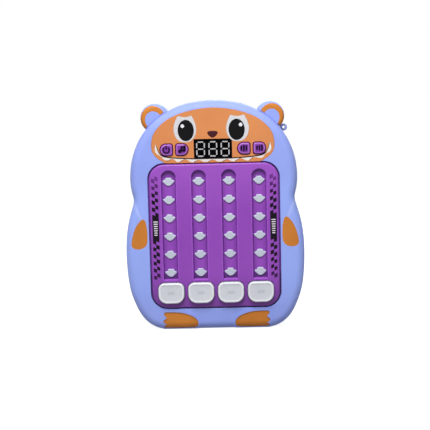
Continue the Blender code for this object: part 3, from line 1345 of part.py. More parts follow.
def build_leads():
    """Insulated leads from the bay's end tabs and the speaker to the back of the board."""
    tab_end = BAY_LENGTH / 2 + BAY_WALL + TAB_REACH
    board_end = FRONT_Y + BOARD_BACK + GAP
    tab_y = FRONT_Y + CELL_AXIS
    start_x = tab_end + GAP
    bend = 4 * LEAD_RADIUS
    middle_y = (tab_y + board_end) / 2
    for name, side, z in (("battery_lead_red", -1, CELL_Z[2]), ("battery_lead_black", 1, CELL_Z[0])):
        route = [
            (side * start_x, tab_y, z),
            (side * (start_x + bend), tab_y, z),
            (side * (start_x + 2 * bend), middle_y, z + bend),
            (side * (start_x + 2 * bend), board_end + bend, z + 2 * bend),
            (side * (start_x + 2 * bend), board_end, z + 2 * bend),
        ]
        build_lead(name, route, "red_lead" if side < 0 else "black_lead")
    frame_y = FRONT_Y + CASE_WALL_FRONT - GAP - SPEAKER_FLANGE
    start_z = SPEAKER_Z - SPEAKER_RADIUS + LEAD_RADIUS + GAP / 2
    for name, x in (("speaker_lead_red", -bend), ("speaker_lead_black", bend)):
        route = [
            (x, frame_y - GAP, start_z),
            (x, frame_y - GAP - bend / 2, start_z),
            (1.5 * x, (frame_y + board_end) / 2, start_z),
            (2 * x, board_end + bend, start_z),
            (2 * x, board_end, start_z),
        ]
        build_lead(name, route, "red_lead" if x < 0 else "black_lead")


def build_lead(name, route, finish):
    points = [Vector(p) for p in route]
    before, after = 2 * points[0] - points[1], 2 * points[-1] - points[-2]
    curve = smooth_through_space([before, *points, after], LEAD_STEPS)
    bm = bmesh.new()
    add_tube(bm, curve, LEAD_RADIUS, LEAD_SIDES)
    place(name, bm, finish)


def smooth_through_space(points, steps):
    """As smooth_through, with the end of the last span kept."""
    return [*smooth_through(points, steps), points[-2]]


def main():
    for obj in list(bpy.data.objects):
        bpy.data.objects.remove(obj)
    pocket = INLAY_THICKNESS + GAP
    skins = {
        "body": body_skin("body_skin", 0.0),
        "body_inlay": body_skin("body_skin_inlay", INLAY_THICKNESS),
        "body_pocket": body_skin("body_skin_pocket", pocket),
        "case_space": body_skin("case_space", COVER_WALL - EMBED),
        "head_keep": body_skin("head_keep", -2 * GAP),
        "head_clear": body_skin("head_clear", -3 * GAP),
        "ear": ear_skins("ear_skin", 0.0),
        "ear_inlay": ear_skins("ear_skin_inlay", INLAY_THICKNESS),
        "ear_pocket": ear_skins("ear_skin_pocket", pocket),
    }
    build_cover(skins)
    build_inlays(skins)
    build_front_shell()
    build_rear_shell()
    build_play_buttons()
    build_keys()
    build_lenses()
    build_display()
    build_board()
    build_screws()
    build_door()
    build_cells()
    build_contacts()
    build_speaker()
    build_leads()


main()
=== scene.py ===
import math

import bmesh
import bpy
from mathutils import Matrix, Quaternion, Vector


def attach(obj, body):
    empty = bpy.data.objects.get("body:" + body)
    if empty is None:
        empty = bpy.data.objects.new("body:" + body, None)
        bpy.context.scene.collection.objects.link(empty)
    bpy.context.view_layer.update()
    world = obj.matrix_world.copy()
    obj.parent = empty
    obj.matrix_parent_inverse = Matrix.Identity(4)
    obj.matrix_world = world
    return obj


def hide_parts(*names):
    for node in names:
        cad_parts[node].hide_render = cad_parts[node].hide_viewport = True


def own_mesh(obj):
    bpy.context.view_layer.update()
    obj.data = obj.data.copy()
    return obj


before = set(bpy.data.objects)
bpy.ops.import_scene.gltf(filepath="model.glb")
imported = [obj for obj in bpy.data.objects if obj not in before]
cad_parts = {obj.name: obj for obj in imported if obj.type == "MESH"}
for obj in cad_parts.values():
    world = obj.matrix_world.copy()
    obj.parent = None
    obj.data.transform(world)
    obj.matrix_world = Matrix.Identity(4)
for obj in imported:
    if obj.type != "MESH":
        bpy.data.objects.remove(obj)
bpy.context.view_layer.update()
print("frame loaded with", len(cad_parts), "nodes")

# Metres throughout. Depths run backwards from the front skin of the silicone.
toy = {
    "frontY": -0.0137, "width": 0.126, "height": 0.1614, "depth": 0.0312, "edge": 0.006,
    "wall": 0.0024, "caseInset": 0.0027, "shellWall": 0.002, "split": 0.0147, "seam": 0.00015,
    "columns": (-0.0315, -0.0105, 0.0105, 0.0315), "buttonZ": 0.02715, "keyZ": 0.1279,
    "keyColumns": {"power": -0.03225, "music": -0.02145, "volume": 0.02145, "tempo": 0.03225},
}
sides = {"left": -1, "right": 1}  # as the viewer sees the front
past = 0.0015  # how far a cutter reaches past what it cuts
capGap = 0.0005  # how far inside a rounded edge its flat is closed
sharpest = 0.0002  # radius of the sharpest corner of a rounded box


# Outlines are lists of (x, z) vectors
def smoothThrough(points, steps):
    # the first and last points only give the end slopes
    curve = []
    for a, b, c, d in zip(points, points[1:], points[2:], points[3:]):
        a, b, c, d = (Vector(p) for p in (a, b, c, d))
        for step in range(steps):
            t = step / steps
            bend = (2 * a - 5 * b + 4 * c - d) * t * t + (3 * b - a - 3 * c + d) * t**3
            curve.append((2 * b + (c - a) * t + bend) / 2)
    return curve


def openSmooth(points, steps):
    # runs straight out past both ends
    points = [Vector(p) for p in points]
    before, after = 2 * points[0] - points[1], 2 * points[-1] - points[-2]
    return smoothThrough([before, *points, after], steps) + [points[-1]]


def closedSmooth(points, steps):
    return smoothThrough([points[-1], *points, points[0], points[1]], steps)


def mirrored(right):
    right = [Vector(p) for p in right]
    return right + [Vector((-p.x, p.y)) for p in reversed(right) if abs(p.x) > 1e-6]


def evenly(points, spacing):
    ends = points[1:] + points[:1]
    total = sum((b - a).length for a, b in zip(points, ends))
    count = 2 * round(total / spacing / 2)
    stride, passed, placed = total / count, 0.0, []
    for a, b in zip(points, ends):
        length = (b - a).length
        while len(placed) < count and len(placed) * stride <= passed + length - 1e-12:
            placed.append(a.lerp(b, (len(placed) * stride - passed) / length))
        passed += length
    return placed


def relaxed(points, rounds):
    for _ in range(rounds):
        before, after = points[-1:] + points[:-1], points[1:] + points[:1]
        points = [(a + 2 * b + c) / 4 for a, b, c in zip(before, points, after)]
    return points


def offset(points, distance):
    # inwards, or outwards by a negative distance
    before, after = points[-1:] + points[:-1], points[1:] + points[:1]
    turning = sum(a.x * b.y - b.x * a.y for a, b in zip(points, after))
    side = 1 if turning > 0 else -1
    moved = []
    for a, b, c in zip(before, points, after):
        first, second = (b - a).normalized(), (c - b).normalized()
        normalA, normalB = Vector((-first.y, first.x)) * side, Vector((-second.y, second.x)) * side
        moved.append(b + (normalA + normalB) * (distance / (1 + normalA.dot(normalB))))
    return moved


def roundedBox(width, height, centre, radii, steps=10):
    # radii at the top right, top left, bottom left and bottom right
    points = []
    for corner, (sx, sz) in enumerate(((1, 1), (-1, 1), (-1, -1), (1, -1))):
        radius = max(radii[corner], sharpest)
        cx, cz = centre[0] + sx * (width / 2 - radius), centre[1] + sz * (height / 2 - radius)
        for step in range(steps + 1):
            angle = math.pi / 2 * (corner + step / steps)
            points.append(Vector((cx + radius * math.cos(angle), cz + radius * math.sin(angle))))
    return points


def oval(centre, halfWidth, halfHeight, steps=48):
    (cx, cz), turns = centre, [2 * math.pi * step / steps for step in range(steps)]
    return [Vector((cx + halfWidth * math.cos(t), cz + halfHeight * math.sin(t))) for t in turns]


def slab(xLow, xHigh, zLow, zHigh):
    return [Vector(p) for p in ((xLow, zLow), (xHigh, zLow), (xHigh, zHigh), (xLow, zHigh))]


# Solids are skinned over rings: an outline at a depth
def ringAt(outline, y):
    return [Vector((p[0], y, p[1])) for p in outline]


def ring(outline, depth):
    return ringAt(outline, toy["frontY"] + depth)


def skin(bm, rings):
    loops = [[bm.verts.new(point) for point in points] for points in rings]
    for near, far in zip(loops, loops[1:]):
        for i in range(len(near)):
            j = (i + 1) % len(near)
            bm.faces.new((near[i], near[j], far[j], far[i]))
    bm.faces.new(loops[0])
    bm.faces.new(loops[-1])


def newObject(name, bm, look=None):
    mesh = bpy.data.meshes.new(name)
    bm.to_mesh(mesh)
    bm.free()
    if look is not None:
        mesh.materials.append(look)
    obj = bpy.data.objects.new(name, mesh)
    bpy.context.scene.collection.objects.link(obj)
    return obj


def solid(name, ringSets, look=None):
    # one closed shell for each set of rings
    bm = bmesh.new()
    for rings in ringSets:
        skin(bm, rings)
    bmesh.ops.recalc_face_normals(bm, faces=bm.faces)
    return newObject(name, bm, look)


def prism(name, outlines, near, far, look=None):
    return solid(name, [[ring(outline, near), ring(outline, far)] for outline in outlines], look)


def arcStations(inset, depth, edge, steps):
    # (inset, depth) pairs round an edge, from the face to the side; a back face has a negative edge
    turns = [math.pi / 2 * step / steps for step in range(steps + 1)]
    return [(inset + abs(edge) * (1 - math.sin(t)), depth + edge * (1 - math.cos(t))) for t in turns]


def ringsAt(outline, stations):
    return [ring(offset(outline, inset), depth) for inset, depth in stations]


def softCutter(name, outlines, near, far, edge, steps=4):
    # leaves a rounded rim of the given radius on what it cuts
    sets = []
    for outline in outlines:
        arc = [(-inset, depth) for inset, depth in arcStations(0.0, near, edge, steps)]
        sets.append(ringsAt(outline, [(-edge, near - past), *arc, (0.0, far)]))
    return solid(name, sets)


def softPlate(name, outline, near, far, edge, look, steps=4):
    stations = [(edge * 1.6, near), *arcStations(0.0, near, edge, steps), (0.0, far)]
    return solid(name, [ringsAt(outline, stations)], look)


def evaluated(obj):
    # what the modifiers make becomes the object's own mesh
    bpy.context.view_layer.update()
    mesh = bpy.data.meshes.new_from_object(obj.evaluated_get(bpy.context.evaluated_depsgraph_get()))
    obj.modifiers.clear()
    obj.data = mesh
    return obj


def carve(obj, steps):
    # steps are (operation, other object) pairs; the others are used up
    for operation, other in steps:
        modifier = obj.modifiers.new(other.name, "BOOLEAN")
        modifier.operation, modifier.solver, modifier.object = operation, "EXACT", other
    evaluated(obj)
    for other in {other for _, other in steps}:
        bpy.data.objects.remove(other)
    return obj


def smooth(obj, angle=35):
    bm = bmesh.new()
    bm.from_mesh(obj.data)
    bmesh.ops.remove_doubles(bm, verts=bm.verts, dist=2e-6)
    bmesh.ops.dissolve_degenerate(bm, edges=bm.edges, dist=1e-6)
    bm.to_mesh(obj.data)
    bm.free()
    obj.data.shade_smooth()
    obj.data.set_sharp_from_angle(angle=math.radians(angle))
    weighted = obj.modifiers.new("weighted", "WEIGHTED_NORMAL")
    weighted.keep_sharp = True
    return evaluated(obj)


def seat(obj, body, slot, *nodes):
    # the piece rides on a body and stands for these CAD nodes
    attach(obj, body)
    if nodes:
        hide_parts(*nodes)
    return obj


# A node's inputs are values, or sockets to link from; its settings are attributes of the node
def newNode(tree, kind, inputs=None, **settings):
    node = tree.nodes.new(kind)
    for name, value in settings.items():
        setattr(node, name, value)
    for label, value in (inputs or {}).items():
        if isinstance(value, bpy.types.NodeSocket):
            tree.links.new(value, node.inputs[label])
        else:
            node.inputs[label].default_value = value
    return node


def mathNode(tree, operation, *values):
    return newNode(tree, "ShaderNodeMath", dict(enumerate(values)), operation=operation).outputs["Value"]


def ranged(tree, value, low, high, top=1.0):
    # 0 at the low end and the top value at the high end
    inputs = {"Value": value, "From Min": low, "From Max": high, "To Max": top}
    return newNode(tree, "ShaderNodeMapRange", inputs).outputs["Result"]


def falling(tree, value, low, high, top=1.0):
    # the top value at the low end and 0 at the high end
    return ranged(tree, mathNode(tree, "MULTIPLY", value, -1.0), -high, -low, top)


def within(tree, value, low, high, soft):
    # 1 between the two values, falling off over a soft width outside them
    below = ranged(tree, value, low - soft, low)
    above = mathNode(tree, "SUBTRACT", 1.0, ranged(tree, value, high, high + soft))
    return mathNode(tree, "MULTIPLY", below, above)


def objectPlace(tree):
    return tree.nodes.new("ShaderNodeTexCoord").outputs["Object"]


def axes(tree):
    split = newNode(tree, "ShaderNodeSeparateXYZ", {"Vector": objectPlace(tree)})
    return split.outputs["X"], split.outputs["Y"], split.outputs["Z"]


def farFrom(tree, centre, aside=None):
    # distance from a point of the front plane
    x, _, z = axes(tree)
    x = x if aside is None else aside
    across = mathNode(tree, "POWER", mathNode(tree, "SUBTRACT", x, centre[0]), 2.0)
    up = mathNode(tree, "POWER", mathNode(tree, "SUBTRACT", z, centre[1]), 2.0)
    return mathNode(tree, "SQRT", mathNode(tree, "ADD", across, up))


def attribute(tree, name):
    return newNode(tree, "ShaderNodeAttribute", attribute_name=name).outputs["Fac"]


def noise(tree, place, scale, detail):
    inputs = {"Vector": place, "Scale": scale, "Detail": detail}
    return newNode(tree, "ShaderNodeTexNoise", inputs).outputs["Fac"]


def mixColour(tree, factor, base, other):
    inputs = {"Factor": factor, "A": base, "B": other}
    return newNode(tree, "ShaderNodeMix", inputs, data_type="RGBA").outputs["Result"]


# Shader groups put out colours, values and heights only
def newShaderGroup(name, inputs, outputs):
    # an input is named with its usual colour or number
    group = bpy.data.node_groups.new(name, "ShaderNodeTree")
    for label, value in inputs.items():
        kind = "NodeSocketColor" if isinstance(value, tuple) else "NodeSocketFloat"
        group.interface.new_socket(name=label, in_out="INPUT", socket_type=kind).default_value = value
    for label, kind in outputs.items():
        group.interface.new_socket(name=label, in_out="OUTPUT", socket_type=kind)
    return group, group.nodes.new("NodeGroupInput").outputs, group.nodes.new("NodeGroupOutput").inputs


drifting = {"detail": 3.0, "from": 0.35, "to": 0.65}
dust = {"scale": 2600.0, "detail": 1.0, "from": 0.70, "to": 0.80, "colour": (0.85, 0.85, 0.85, 1.0)}


def toneDriftGroup():
    # a slow drift between a colour and its shade, with small specks of dust in it
    group, given, out = newShaderGroup(
        "toneDrift",
        {"Colour": (0.5, 0.5, 0.5, 1.0), "Shade": (0.4, 0.4, 0.4, 1.0), "Scale": 30.0, "Speck": 0.1},
        {"Colour": "NodeSocketColor", "Mask": "NodeSocketFloat"},
    )
    place = objectPlace(group)
    slow = noise(group, place, given["Scale"], drifting["detail"])
    drift = ranged(group, slow, drifting["from"], drifting["to"])
    tone = mixColour(group, drift, given["Colour"], given["Shade"])
    specks = ranged(group, noise(group, place, dust["scale"], dust["detail"]), dust["from"], dust["to"])
    dusty = mixColour(group, mathNode(group, "MULTIPLY", specks, given["Speck"]), tone, dust["colour"])
    group.links.new(dusty, out["Colour"])
    group.links.new(drift, out["Mask"])
    return group


waviness = {"scale": 140.0, "detail": 2.0}
scratches = {"turn": (0.0, 0.6, 0.3), "stretch": (900.0, 900.0, 24.0), "from": 0.72, "to": 0.80}


def fineGrainGroup():
    # moulded texture: a fine grain over a slow waviness, and the roughness to go with it, with hair scratches
    group, given, out = newShaderGroup(
        "fineGrain",
        {"Scale": 2000.0, "Waviness": 0.2, "Roughness": 0.4, "Spread": 0.1, "Scratches": 0.0},
        {"Height": "NodeSocketFloat", "Roughness": "NodeSocketFloat"},
    )
    place = objectPlace(group)
    grain = noise(group, place, given["Scale"], 2.0)
    waves = noise(group, place, waviness["scale"], waviness["detail"])
    uneven = mathNode(group, "SUBTRACT", waves, 0.5)
    rough = mathNode(group, "MULTIPLY_ADD", uneven, given["Spread"], given["Roughness"])
    stretched = {"Vector": place, "Rotation": scratches["turn"], "Scale": scratches["stretch"]}
    drawn = newNode(group, "ShaderNodeMapping", stretched).outputs["Vector"]
    hairs = ranged(group, noise(group, drawn, 1.0, 0.0), scratches["from"], scratches["to"])
    group.links.new(mathNode(group, "MULTIPLY_ADD", waves, given["Waviness"], grain), out["Height"])
    group.links.new(mathNode(group, "MULTIPLY_ADD", hairs, given["Scratches"], rough), out["Roughness"])
    return group


toneDrift, fineGrain = toneDriftGroup(), fineGrainGroup()
usual = {
    "scale": 30.0, "speck": 0.06, "grain": 2200.0, "waviness": 0.4, "spread": 0.15, "scratches": 0.0,
    "bump": 0.15,
}
bumpDistance = 0.0001


def finish(name, colour, shade, roughness, more):
    # more may hold any of the usual values, and plain sockets of the shader by name
    material = bpy.data.materials.new(name)
    material.use_nodes = True
    tree, given = material.node_tree, {**usual, **more}
    tone = newNode(tree, "ShaderNodeGroup", {
        "Colour": (*colour, 1.0), "Shade": (*shade, 1.0), "Scale": given["scale"], "Speck": given["speck"],
    }, node_tree=toneDrift)
    grain = newNode(tree, "ShaderNodeGroup", {
        "Scale": given["grain"], "Waviness": given["waviness"], "Roughness": roughness,
        "Spread": given["spread"], "Scratches": given["scratches"],
    }, node_tree=fineGrain)
    bump = newNode(tree, "ShaderNodeBump", {
        "Strength": given["bump"], "Distance": bumpDistance, "Height": grain.outputs["Height"],
    })
    shader = tree.nodes["Principled BSDF"].inputs
    tree.links.new(tone.outputs["Colour"], shader["Base Color"])
    tree.links.new(grain.outputs["Roughness"], shader["Roughness"])
    tree.links.new(bump.outputs["Normal"], shader["Normal"])
    for label, value in more.items():
        if label not in usual:
            shader[label].default_value = value
    return material


def srgb(*colour):
    # a colour as it is seen, 0 to 255, made linear
    shares = [value / 255 for value in colour]
    return tuple(c / 12.92 if c <= 0.04045 else ((c + 0.055) / 1.055) ** 2.4 for c in shares)


silicone = {"grain": 1700.0, "bump": 0.22, "waviness": 0.5, "spread": 0.2, "Specular IOR Level": 0.25}
gloss = {
    "grain": 900.0, "bump": 0.05, "waviness": 1.5, "spread": 0.12, "speck": 0.03, "scratches": 0.15,
    "Specular IOR Level": 0.3,
}
dark = {**gloss, "Specular IOR Level": 0.1}
rubbery = {"grain": 1500.0, "waviness": 0.5, "spread": 0.15, "bump": 0.2, "Specular IOR Level": 0.3}
plated = {
    "grain": 1400.0, "waviness": 0.8, "spread": 0.2, "speck": 0.02, "bump": 0.12, "scratches": 0.2,
    "Metallic": 1.0,
}
# colour and shade as they are seen, roughness, and what isn't as usual
seenLooks = {
    "coverBlue": ((151, 168, 240), (145, 162, 235), 0.52, silicone),
    "faceOrange": ((215, 138, 83), (208, 131, 77), 0.55, silicone),
    "pawOrange": ((206, 128, 50), (195, 118, 43), 0.55, silicone),
    "eyeWhite": ((211, 211, 215), (203, 203, 207), 0.5, silicone),
    "toothWhite": ((232, 226, 222), (224, 217, 212), 0.5, silicone),
    "pupilBlack": ((9, 9, 11), (6, 6, 8), 0.42, dark),
    "noseBrown": ((70, 29, 37), (62, 24, 31), 0.45, dark),
    "panelPurple": ((146, 72, 182), (140, 67, 177), 0.36, gloss),
    "keyPurple": ((122, 53, 156), (116, 48, 150), 0.36, gloss),
    "rearViolet": ((122, 130, 218), (116, 123, 212), 0.42, {"grain": 1500.0, "bump": 0.3}),
    "buttonWhite": ((214, 217, 224), (208, 211, 219), 0.32, gloss),
    "padGrey": ((200, 203, 210), (195, 198, 205), 0.45, gloss),
    "lensMilk": ((205, 203, 226), (198, 199, 222), 0.28, {**gloss, "scale": 400.0}),
    "displayBlack": ((3, 2, 3), (2, 1, 2), 0.3, {**dark, "Specular IOR Level": 0.02}),
    "segmentGrey": ((190, 189, 192), (176, 175, 179), 0.4, {**gloss, "scale": 120.0}),
    "inkBlack": ((24, 16, 28), (18, 12, 22), 0.4, dark),
    "inkWhite": ((232, 230, 236), (224, 222, 230), 0.4, gloss),
    "iconDark": ((30, 4, 44), (25, 3, 37), 0.45, dark),
    "inkFading": ((20, 8, 24), (14, 6, 18), 0.4, dark),
    # painted shade of the gaps round the keys
    "paintedGapShade": ((100, 22, 52), (88, 18, 46), 0.5, dark),
    "inkBrown": ((112, 66, 44), (98, 56, 38), 0.5, dark),
    "cellPrint": ((58, 62, 70), (50, 54, 62), 0.28, gloss),
    "domeRubber": ((206, 204, 198), (190, 188, 182), 0.5, rubbery),
    "switchBlack": ((36, 35, 38), (28, 27, 30), 0.45, gloss),
    "basketBlack": ((40, 40, 43), (30, 30, 33), 0.5, {**rubbery, "scale": 90.0}),
    "conePaper": ((66, 62, 60), (48, 45, 44), 0.85, {"scale": 700.0, "grain": 3200.0, "bump": 0.5}),
    "boardMask": ((22, 92, 52), (16, 78, 44), 0.3, gloss),
    "leadRed": ((186, 32, 30), (168, 26, 24), 0.4, rubbery),
    "leadBlack": ((30, 30, 32), (22, 22, 24), 0.4, rubbery),
}
# the same with linear colours
metalLooks = {
    "steelScrew": ((0.62, 0.62, 0.64), (0.52, 0.52, 0.54), 0.3, {"scale": 300.0, "Metallic": 1.0}),
    "nickelPlate": ((0.62, 0.60, 0.55), (0.50, 0.48, 0.43), 0.26, {**plated, "scale": 260.0}),
    "magnetZinc": ((0.50, 0.50, 0.51), (0.38, 0.38, 0.40), 0.38, {**plated, "scale": 180.0}),
}
looks = {
    name: finish(name, srgb(*colour), srgb(*shade), *rest)
    for name, (colour, shade, *rest) in seenLooks.items()
}
looks.update({name: finish(name, *values) for name, values in metalLooks.items()})


def tint(name, mask, colour):
    # the finish turns to this colour where the mask is 1
    tree = looks[name].node_tree
    socket = tree.nodes["Principled BSDF"].inputs["Base Color"]
    mixed = mixColour(tree, mask, socket.links[0].from_socket, (*srgb(*colour), 1.0))
    tree.links.new(mixed, socket)


def fadeInk():
    # the print thins out towards both ends of the strips, more so at the top
    tree = looks["inkFading"].node_tree
    up, faded = axes(tree)[2], (128, 62, 160)
    tint("inkFading", ranged(tree, up, 0.0962, 0.1102, 0.80), faded)
    tint("inkFading", falling(tree, up, 0.0350, 0.0450, 0.30), faded)


def paintPanelLightAndShade():
    # painted light and shade: the upper panel is painted lighter; its foot, and the groove floors towards
    # their walls, feet and heads, are painted darker as shade; the ledge at each groove's foot and the groove
    # rims get a painted highlight
    tree = looks["panelPurple"].node_tree
    x, y, z = axes(tree)
    half = (toy["columns"][1] - toy["columns"][0]) / 2
    aside = mathNode(tree, "PINGPONG", mathNode(tree, "ADD", x, half), half)  # from a groove's middle
    deep = ranged(tree, y, toy["frontY"] + 0.0002, toy["frontY"] + 0.0014)
    rimEnd = falling(tree, aside, 0.0050, 0.0053, 0.8)
    # mask, where it holds, and colour: painted light on the upper panel, painted shade at its foot and
    # towards the groove walls, painted shadow at each groove's foot and head, painted highlight on the ledges
    # and along the groove rims
    paintedLightAndShade = (
        (ranged(tree, z, 0.085, 0.116, 0.36), within(tree, z, 0.08, 0.1190, 0.0005), (172, 98, 206)),
        (falling(tree, z, 0.024, 0.040, 0.74), 1.0, (108, 56, 138)),
        (ranged(tree, aside, 0.0016, 0.0048, 0.60), deep, (104, 44, 136)),
        (falling(tree, z, 0.0385, 0.0425, 0.80), deep, (66, 22, 96)),
        (ranged(tree, z, 0.1055, 0.1110, 0.64), deep, (84, 32, 116)),
        (within(tree, z, 0.03605, 0.0367, 0.0002), rimEnd, (168, 90, 202)),
        (within(tree, aside, 0.0053, 0.0056, 0.0003), within(tree, z, 0.0372, 0.1086, 0.001), (164, 88, 202)),
    )
    for mask, other, colour in paintedLightAndShade:
        tint("panelPurple", mathNode(tree, "MULTIPLY", mask, other), colour)


def paintRimHighlights():
    # painted highlight: the play buttons and keys are painted paler round their rims
    for name, low, high, top, colour in (
        ("keyPurple", 0.35, 0.9, 0.8, (174, 108, 196)), ("buttonWhite", 0.0, 1.0, 0.7, (240, 243, 246)),
    ):
        tree = looks[name].node_tree
        tint(name, ranged(tree, attribute(tree, "rim"), low, high, top), colour)


# the fold lies where across * x + up * z comes to at
fold = {"across": 0.922, "up": -0.387, "at": 0.01552, "low": 0.0815, "high": 0.0905, "soft": 0.003}


def paintBodyAndFoldLight():
    # painted light: the silicone is painted paler over the lower body up to the waist, with a painted
    # highlight along the fold that runs from the waist to the tip of each hand
    tree = looks["coverBlue"].node_tree
    x, y, z = axes(tree)
    across = mathNode(tree, "MULTIPLY", mathNode(tree, "ABSOLUTE", x), fold["across"])
    beyond = mathNode(tree, "SUBTRACT", mathNode(tree, "MULTIPLY_ADD", z, fold["up"], across), fold["at"])
    fading = falling(tree, beyond, 0.0006, 0.0034)
    band = mathNode(tree, "MULTIPLY", ranged(tree, beyond, -0.0001, 0.0003), fading)
    band = mathNode(tree, "MULTIPLY", band, within(tree, z, fold["low"], fold["high"], fold["soft"]))
    front = falling(tree, y, -0.009, -0.004, 0.65)
    # painted light on the lower body
    tint("coverBlue", mathNode(tree, "MULTIPLY", within(tree, z, 0.032, 0.092, 0.016), 0.5), (158, 181, 255))
    # painted highlight along each fold
    tint("coverBlue", mathNode(tree, "MULTIPLY", band, front), (182, 196, 252))


# an arc of the head about this centre, as far as it lies by the ear
crease = {"centre": (0.00858, 0.11012), "from": 0.04956, "to": 0.04986, "soft": 0.0005, "near": 0.0088}


def paintEarSeamShade():
    # painted shade: the cover is painted darker where each ear meets the head
    tree = looks["coverBlue"].node_tree
    aside = mathNode(tree, "ABSOLUTE", axes(tree)[0])
    reach = farFrom(tree, crease["centre"], aside)
    seam = within(tree, reach, crease["from"], crease["to"], crease["soft"])
    near = falling(tree, farFrom(tree, ear["centre"], aside), crease["near"], crease["near"] + 0.001, 0.6)
    tint("coverBlue", mathNode(tree, "MULTIPLY", seam, near), (112, 124, 208))


print("finishes made:", len(looks))


# Body
bodyShape = {
    "head": (
        (0.0, 1.0), (0.190, 0.995), (0.349, 0.9814), (0.508, 0.9535), (0.638, 0.9195), (0.751, 0.8748),
        (0.841, 0.8191), (0.905, 0.7497), (0.930, 0.6753), (0.919, 0.6152), (0.889, 0.5762),
    ),
    "torso": (
        (0.889, 0.5762), (0.921, 0.5353), (0.963, 0.4796), (0.990, 0.4151), (1.0, 0.3408), (0.9937, 0.2571),
        (0.970, 0.1822), (0.927, 0.1264), (0.862, 0.0706), (0.786, 0.0335), (0.690, 0.0099), (0.571, 0.0),
    ),
    "spacing": 0.0013, "relaxing": 6,
}


def bodyOutline():
    half, height = toy["width"] / 2, toy["height"]
    head = [Vector((x * half, z * height)) for x, z in bodyShape["head"]]
    torso = [Vector((x * half, z * height)) for x, z in bodyShape["torso"]]
    upper = smoothThrough([Vector((-head[1].x, head[1].y)), *head, 2 * head[-1] - head[-2]], 10)
    lower = smoothThrough([2 * torso[0] - torso[1], *torso, Vector((0.0, 0.0))], 10)
    outline = evenly(mirrored([*upper, *lower, torso[-1]]), bodyShape["spacing"])
    outline = relaxed(outline, bodyShape["relaxing"])
    return [Vector((max(-half, min(half, p.x)), max(0.0, min(height, p.y)))) for p in outline]


bodyLine = bodyOutline()
coarseLine = bodyLine[::2]  # for what the cover hides


def bodySkin(name, inset, steps=10):
    # the solid inside the cover's outer surface, drawn in by a distance
    edge, back = toy["edge"] - inset, toy["depth"] - inset
    stations = [(inset + edge + capGap, inset), *arcStations(inset, inset, edge, steps)]
    stations += arcStations(inset, back, -edge, steps)[::-1]
    return solid(name, [ringsAt(bodyLine, stations)])


ear = {
    "centre": (0.0401, 0.1497), "radius": 0.01005, "front": 0.005, "back": 0.019, "edge": 0.003,
    "capGap": 0.0003,
}


def earSkin(name, inset):
    edge, front, back = ear["edge"] - inset, ear["front"] + inset, ear["back"] - inset
    stations = [(inset + edge + ear["capGap"], front), *arcStations(inset, front, edge, 8)]
    stations += arcStations(inset, back, -edge, 8)[::-1]
    cx, cz = ear["centre"]
    outlines = [oval((side * cx, cz), ear["radius"], ear["radius"], 96) for side in sides.values()]
    return solid(name, [ringsAt(outline, stations) for outline in outlines])


# Outlines of what lies in the cover's front
panel = {"width": 0.0899, "foot": 0.0162, "top": 0.1178, "topRadius": 0.0105, "footRadius": 0.0107}


def panelOutline(grow=0.0, steps=16):
    height = panel["top"] - panel["foot"]
    tops, feet = panel["topRadius"] + grow, panel["footRadius"] + grow
    centre = (0.0, panel["foot"] + height / 2)
    return roundedBox(panel["width"] + 2 * grow, height + 2 * grow, centre, (tops, tops, feet, feet), steps)


face = {
    "halfWidth": 0.0425, "foot": 0.1186, "head": 0.1563,
    "shares": (
        (0.0, 1.0), (0.233, 0.978), (0.466, 0.922), (0.583, 0.875), (0.699, 0.820), (0.816, 0.730),
        (0.886, 0.650), (0.932, 0.592), (0.979, 0.488), (1.0, 0.366), (1.0, 0.275), (0.984, 0.197),
        (0.944, 0.132), (0.886, 0.072), (0.816, 0.036), (0.740, 0.0),
    ),
    "spacing": 0.0009, "relaxing": 3,
}


def faceOutline():
    rise = face["head"] - face["foot"]
    right = [Vector((x * face["halfWidth"], face["foot"] + z * rise)) for x, z in face["shares"]]
    curve = smoothThrough([Vector((-right[1].x, right[1].y)), *right, Vector((0.0, face["foot"]))], 6)
    curve.append(right[-1])
    return relaxed(evenly(mirrored(curve), face["spacing"]), face["relaxing"])


eye = {
    "x": 0.01819, "foot": 0.133, "width": 0.0154, "height": 0.0179, "shift": -0.00085,
    "pupil": (0.01757, 0.14101, 0.00547, 0.0072), "glints": {-1: (-0.0023, 0.0031), 1: (0.0028, 0.0033)},
    "glintRadius": 0.00125,
    "shares": (
        (0.0, 0.955), (0.30, 0.967), (0.50, 0.998), (0.62, 0.985), (0.74, 0.895), (0.90, 0.740),
        (1.0, 0.530), (0.97, 0.370), (0.85, 0.215), (0.62, 0.085), (0.33, 0.018), (0.0, 0.0),
    ),
}


def eyeOutline(side):
    right = [Vector((x * eye["width"] / 2, eye["foot"] + z * eye["height"])) for x, z in eye["shares"]]
    whole = closedSmooth(mirrored(right), 6)
    return [Vector((p.x + side * eye["x"] + eye["shift"], p.y)) for p in whole]


def pupilOutline(side, grow=0.0):
    x, z, halfWidth, halfHeight = eye["pupil"]
    return oval((side * x + eye["shift"], z), halfWidth + grow, halfHeight + grow, 64)


nose = {
    "z": 0.1381, "width": 0.007, "height": 0.0042,
    "shares": (
        (0.0, 0.5), (0.55, 0.49), (0.92, 0.36), (0.96, 0.12), (0.60, -0.26), (0.25, -0.48), (0.0, -0.52),
    ),
}


def noseOutline():
    right = [(x * nose["width"] / 2, nose["z"] + z * nose["height"]) for x, z in nose["shares"]]
    return closedSmooth(mirrored(right), 4)


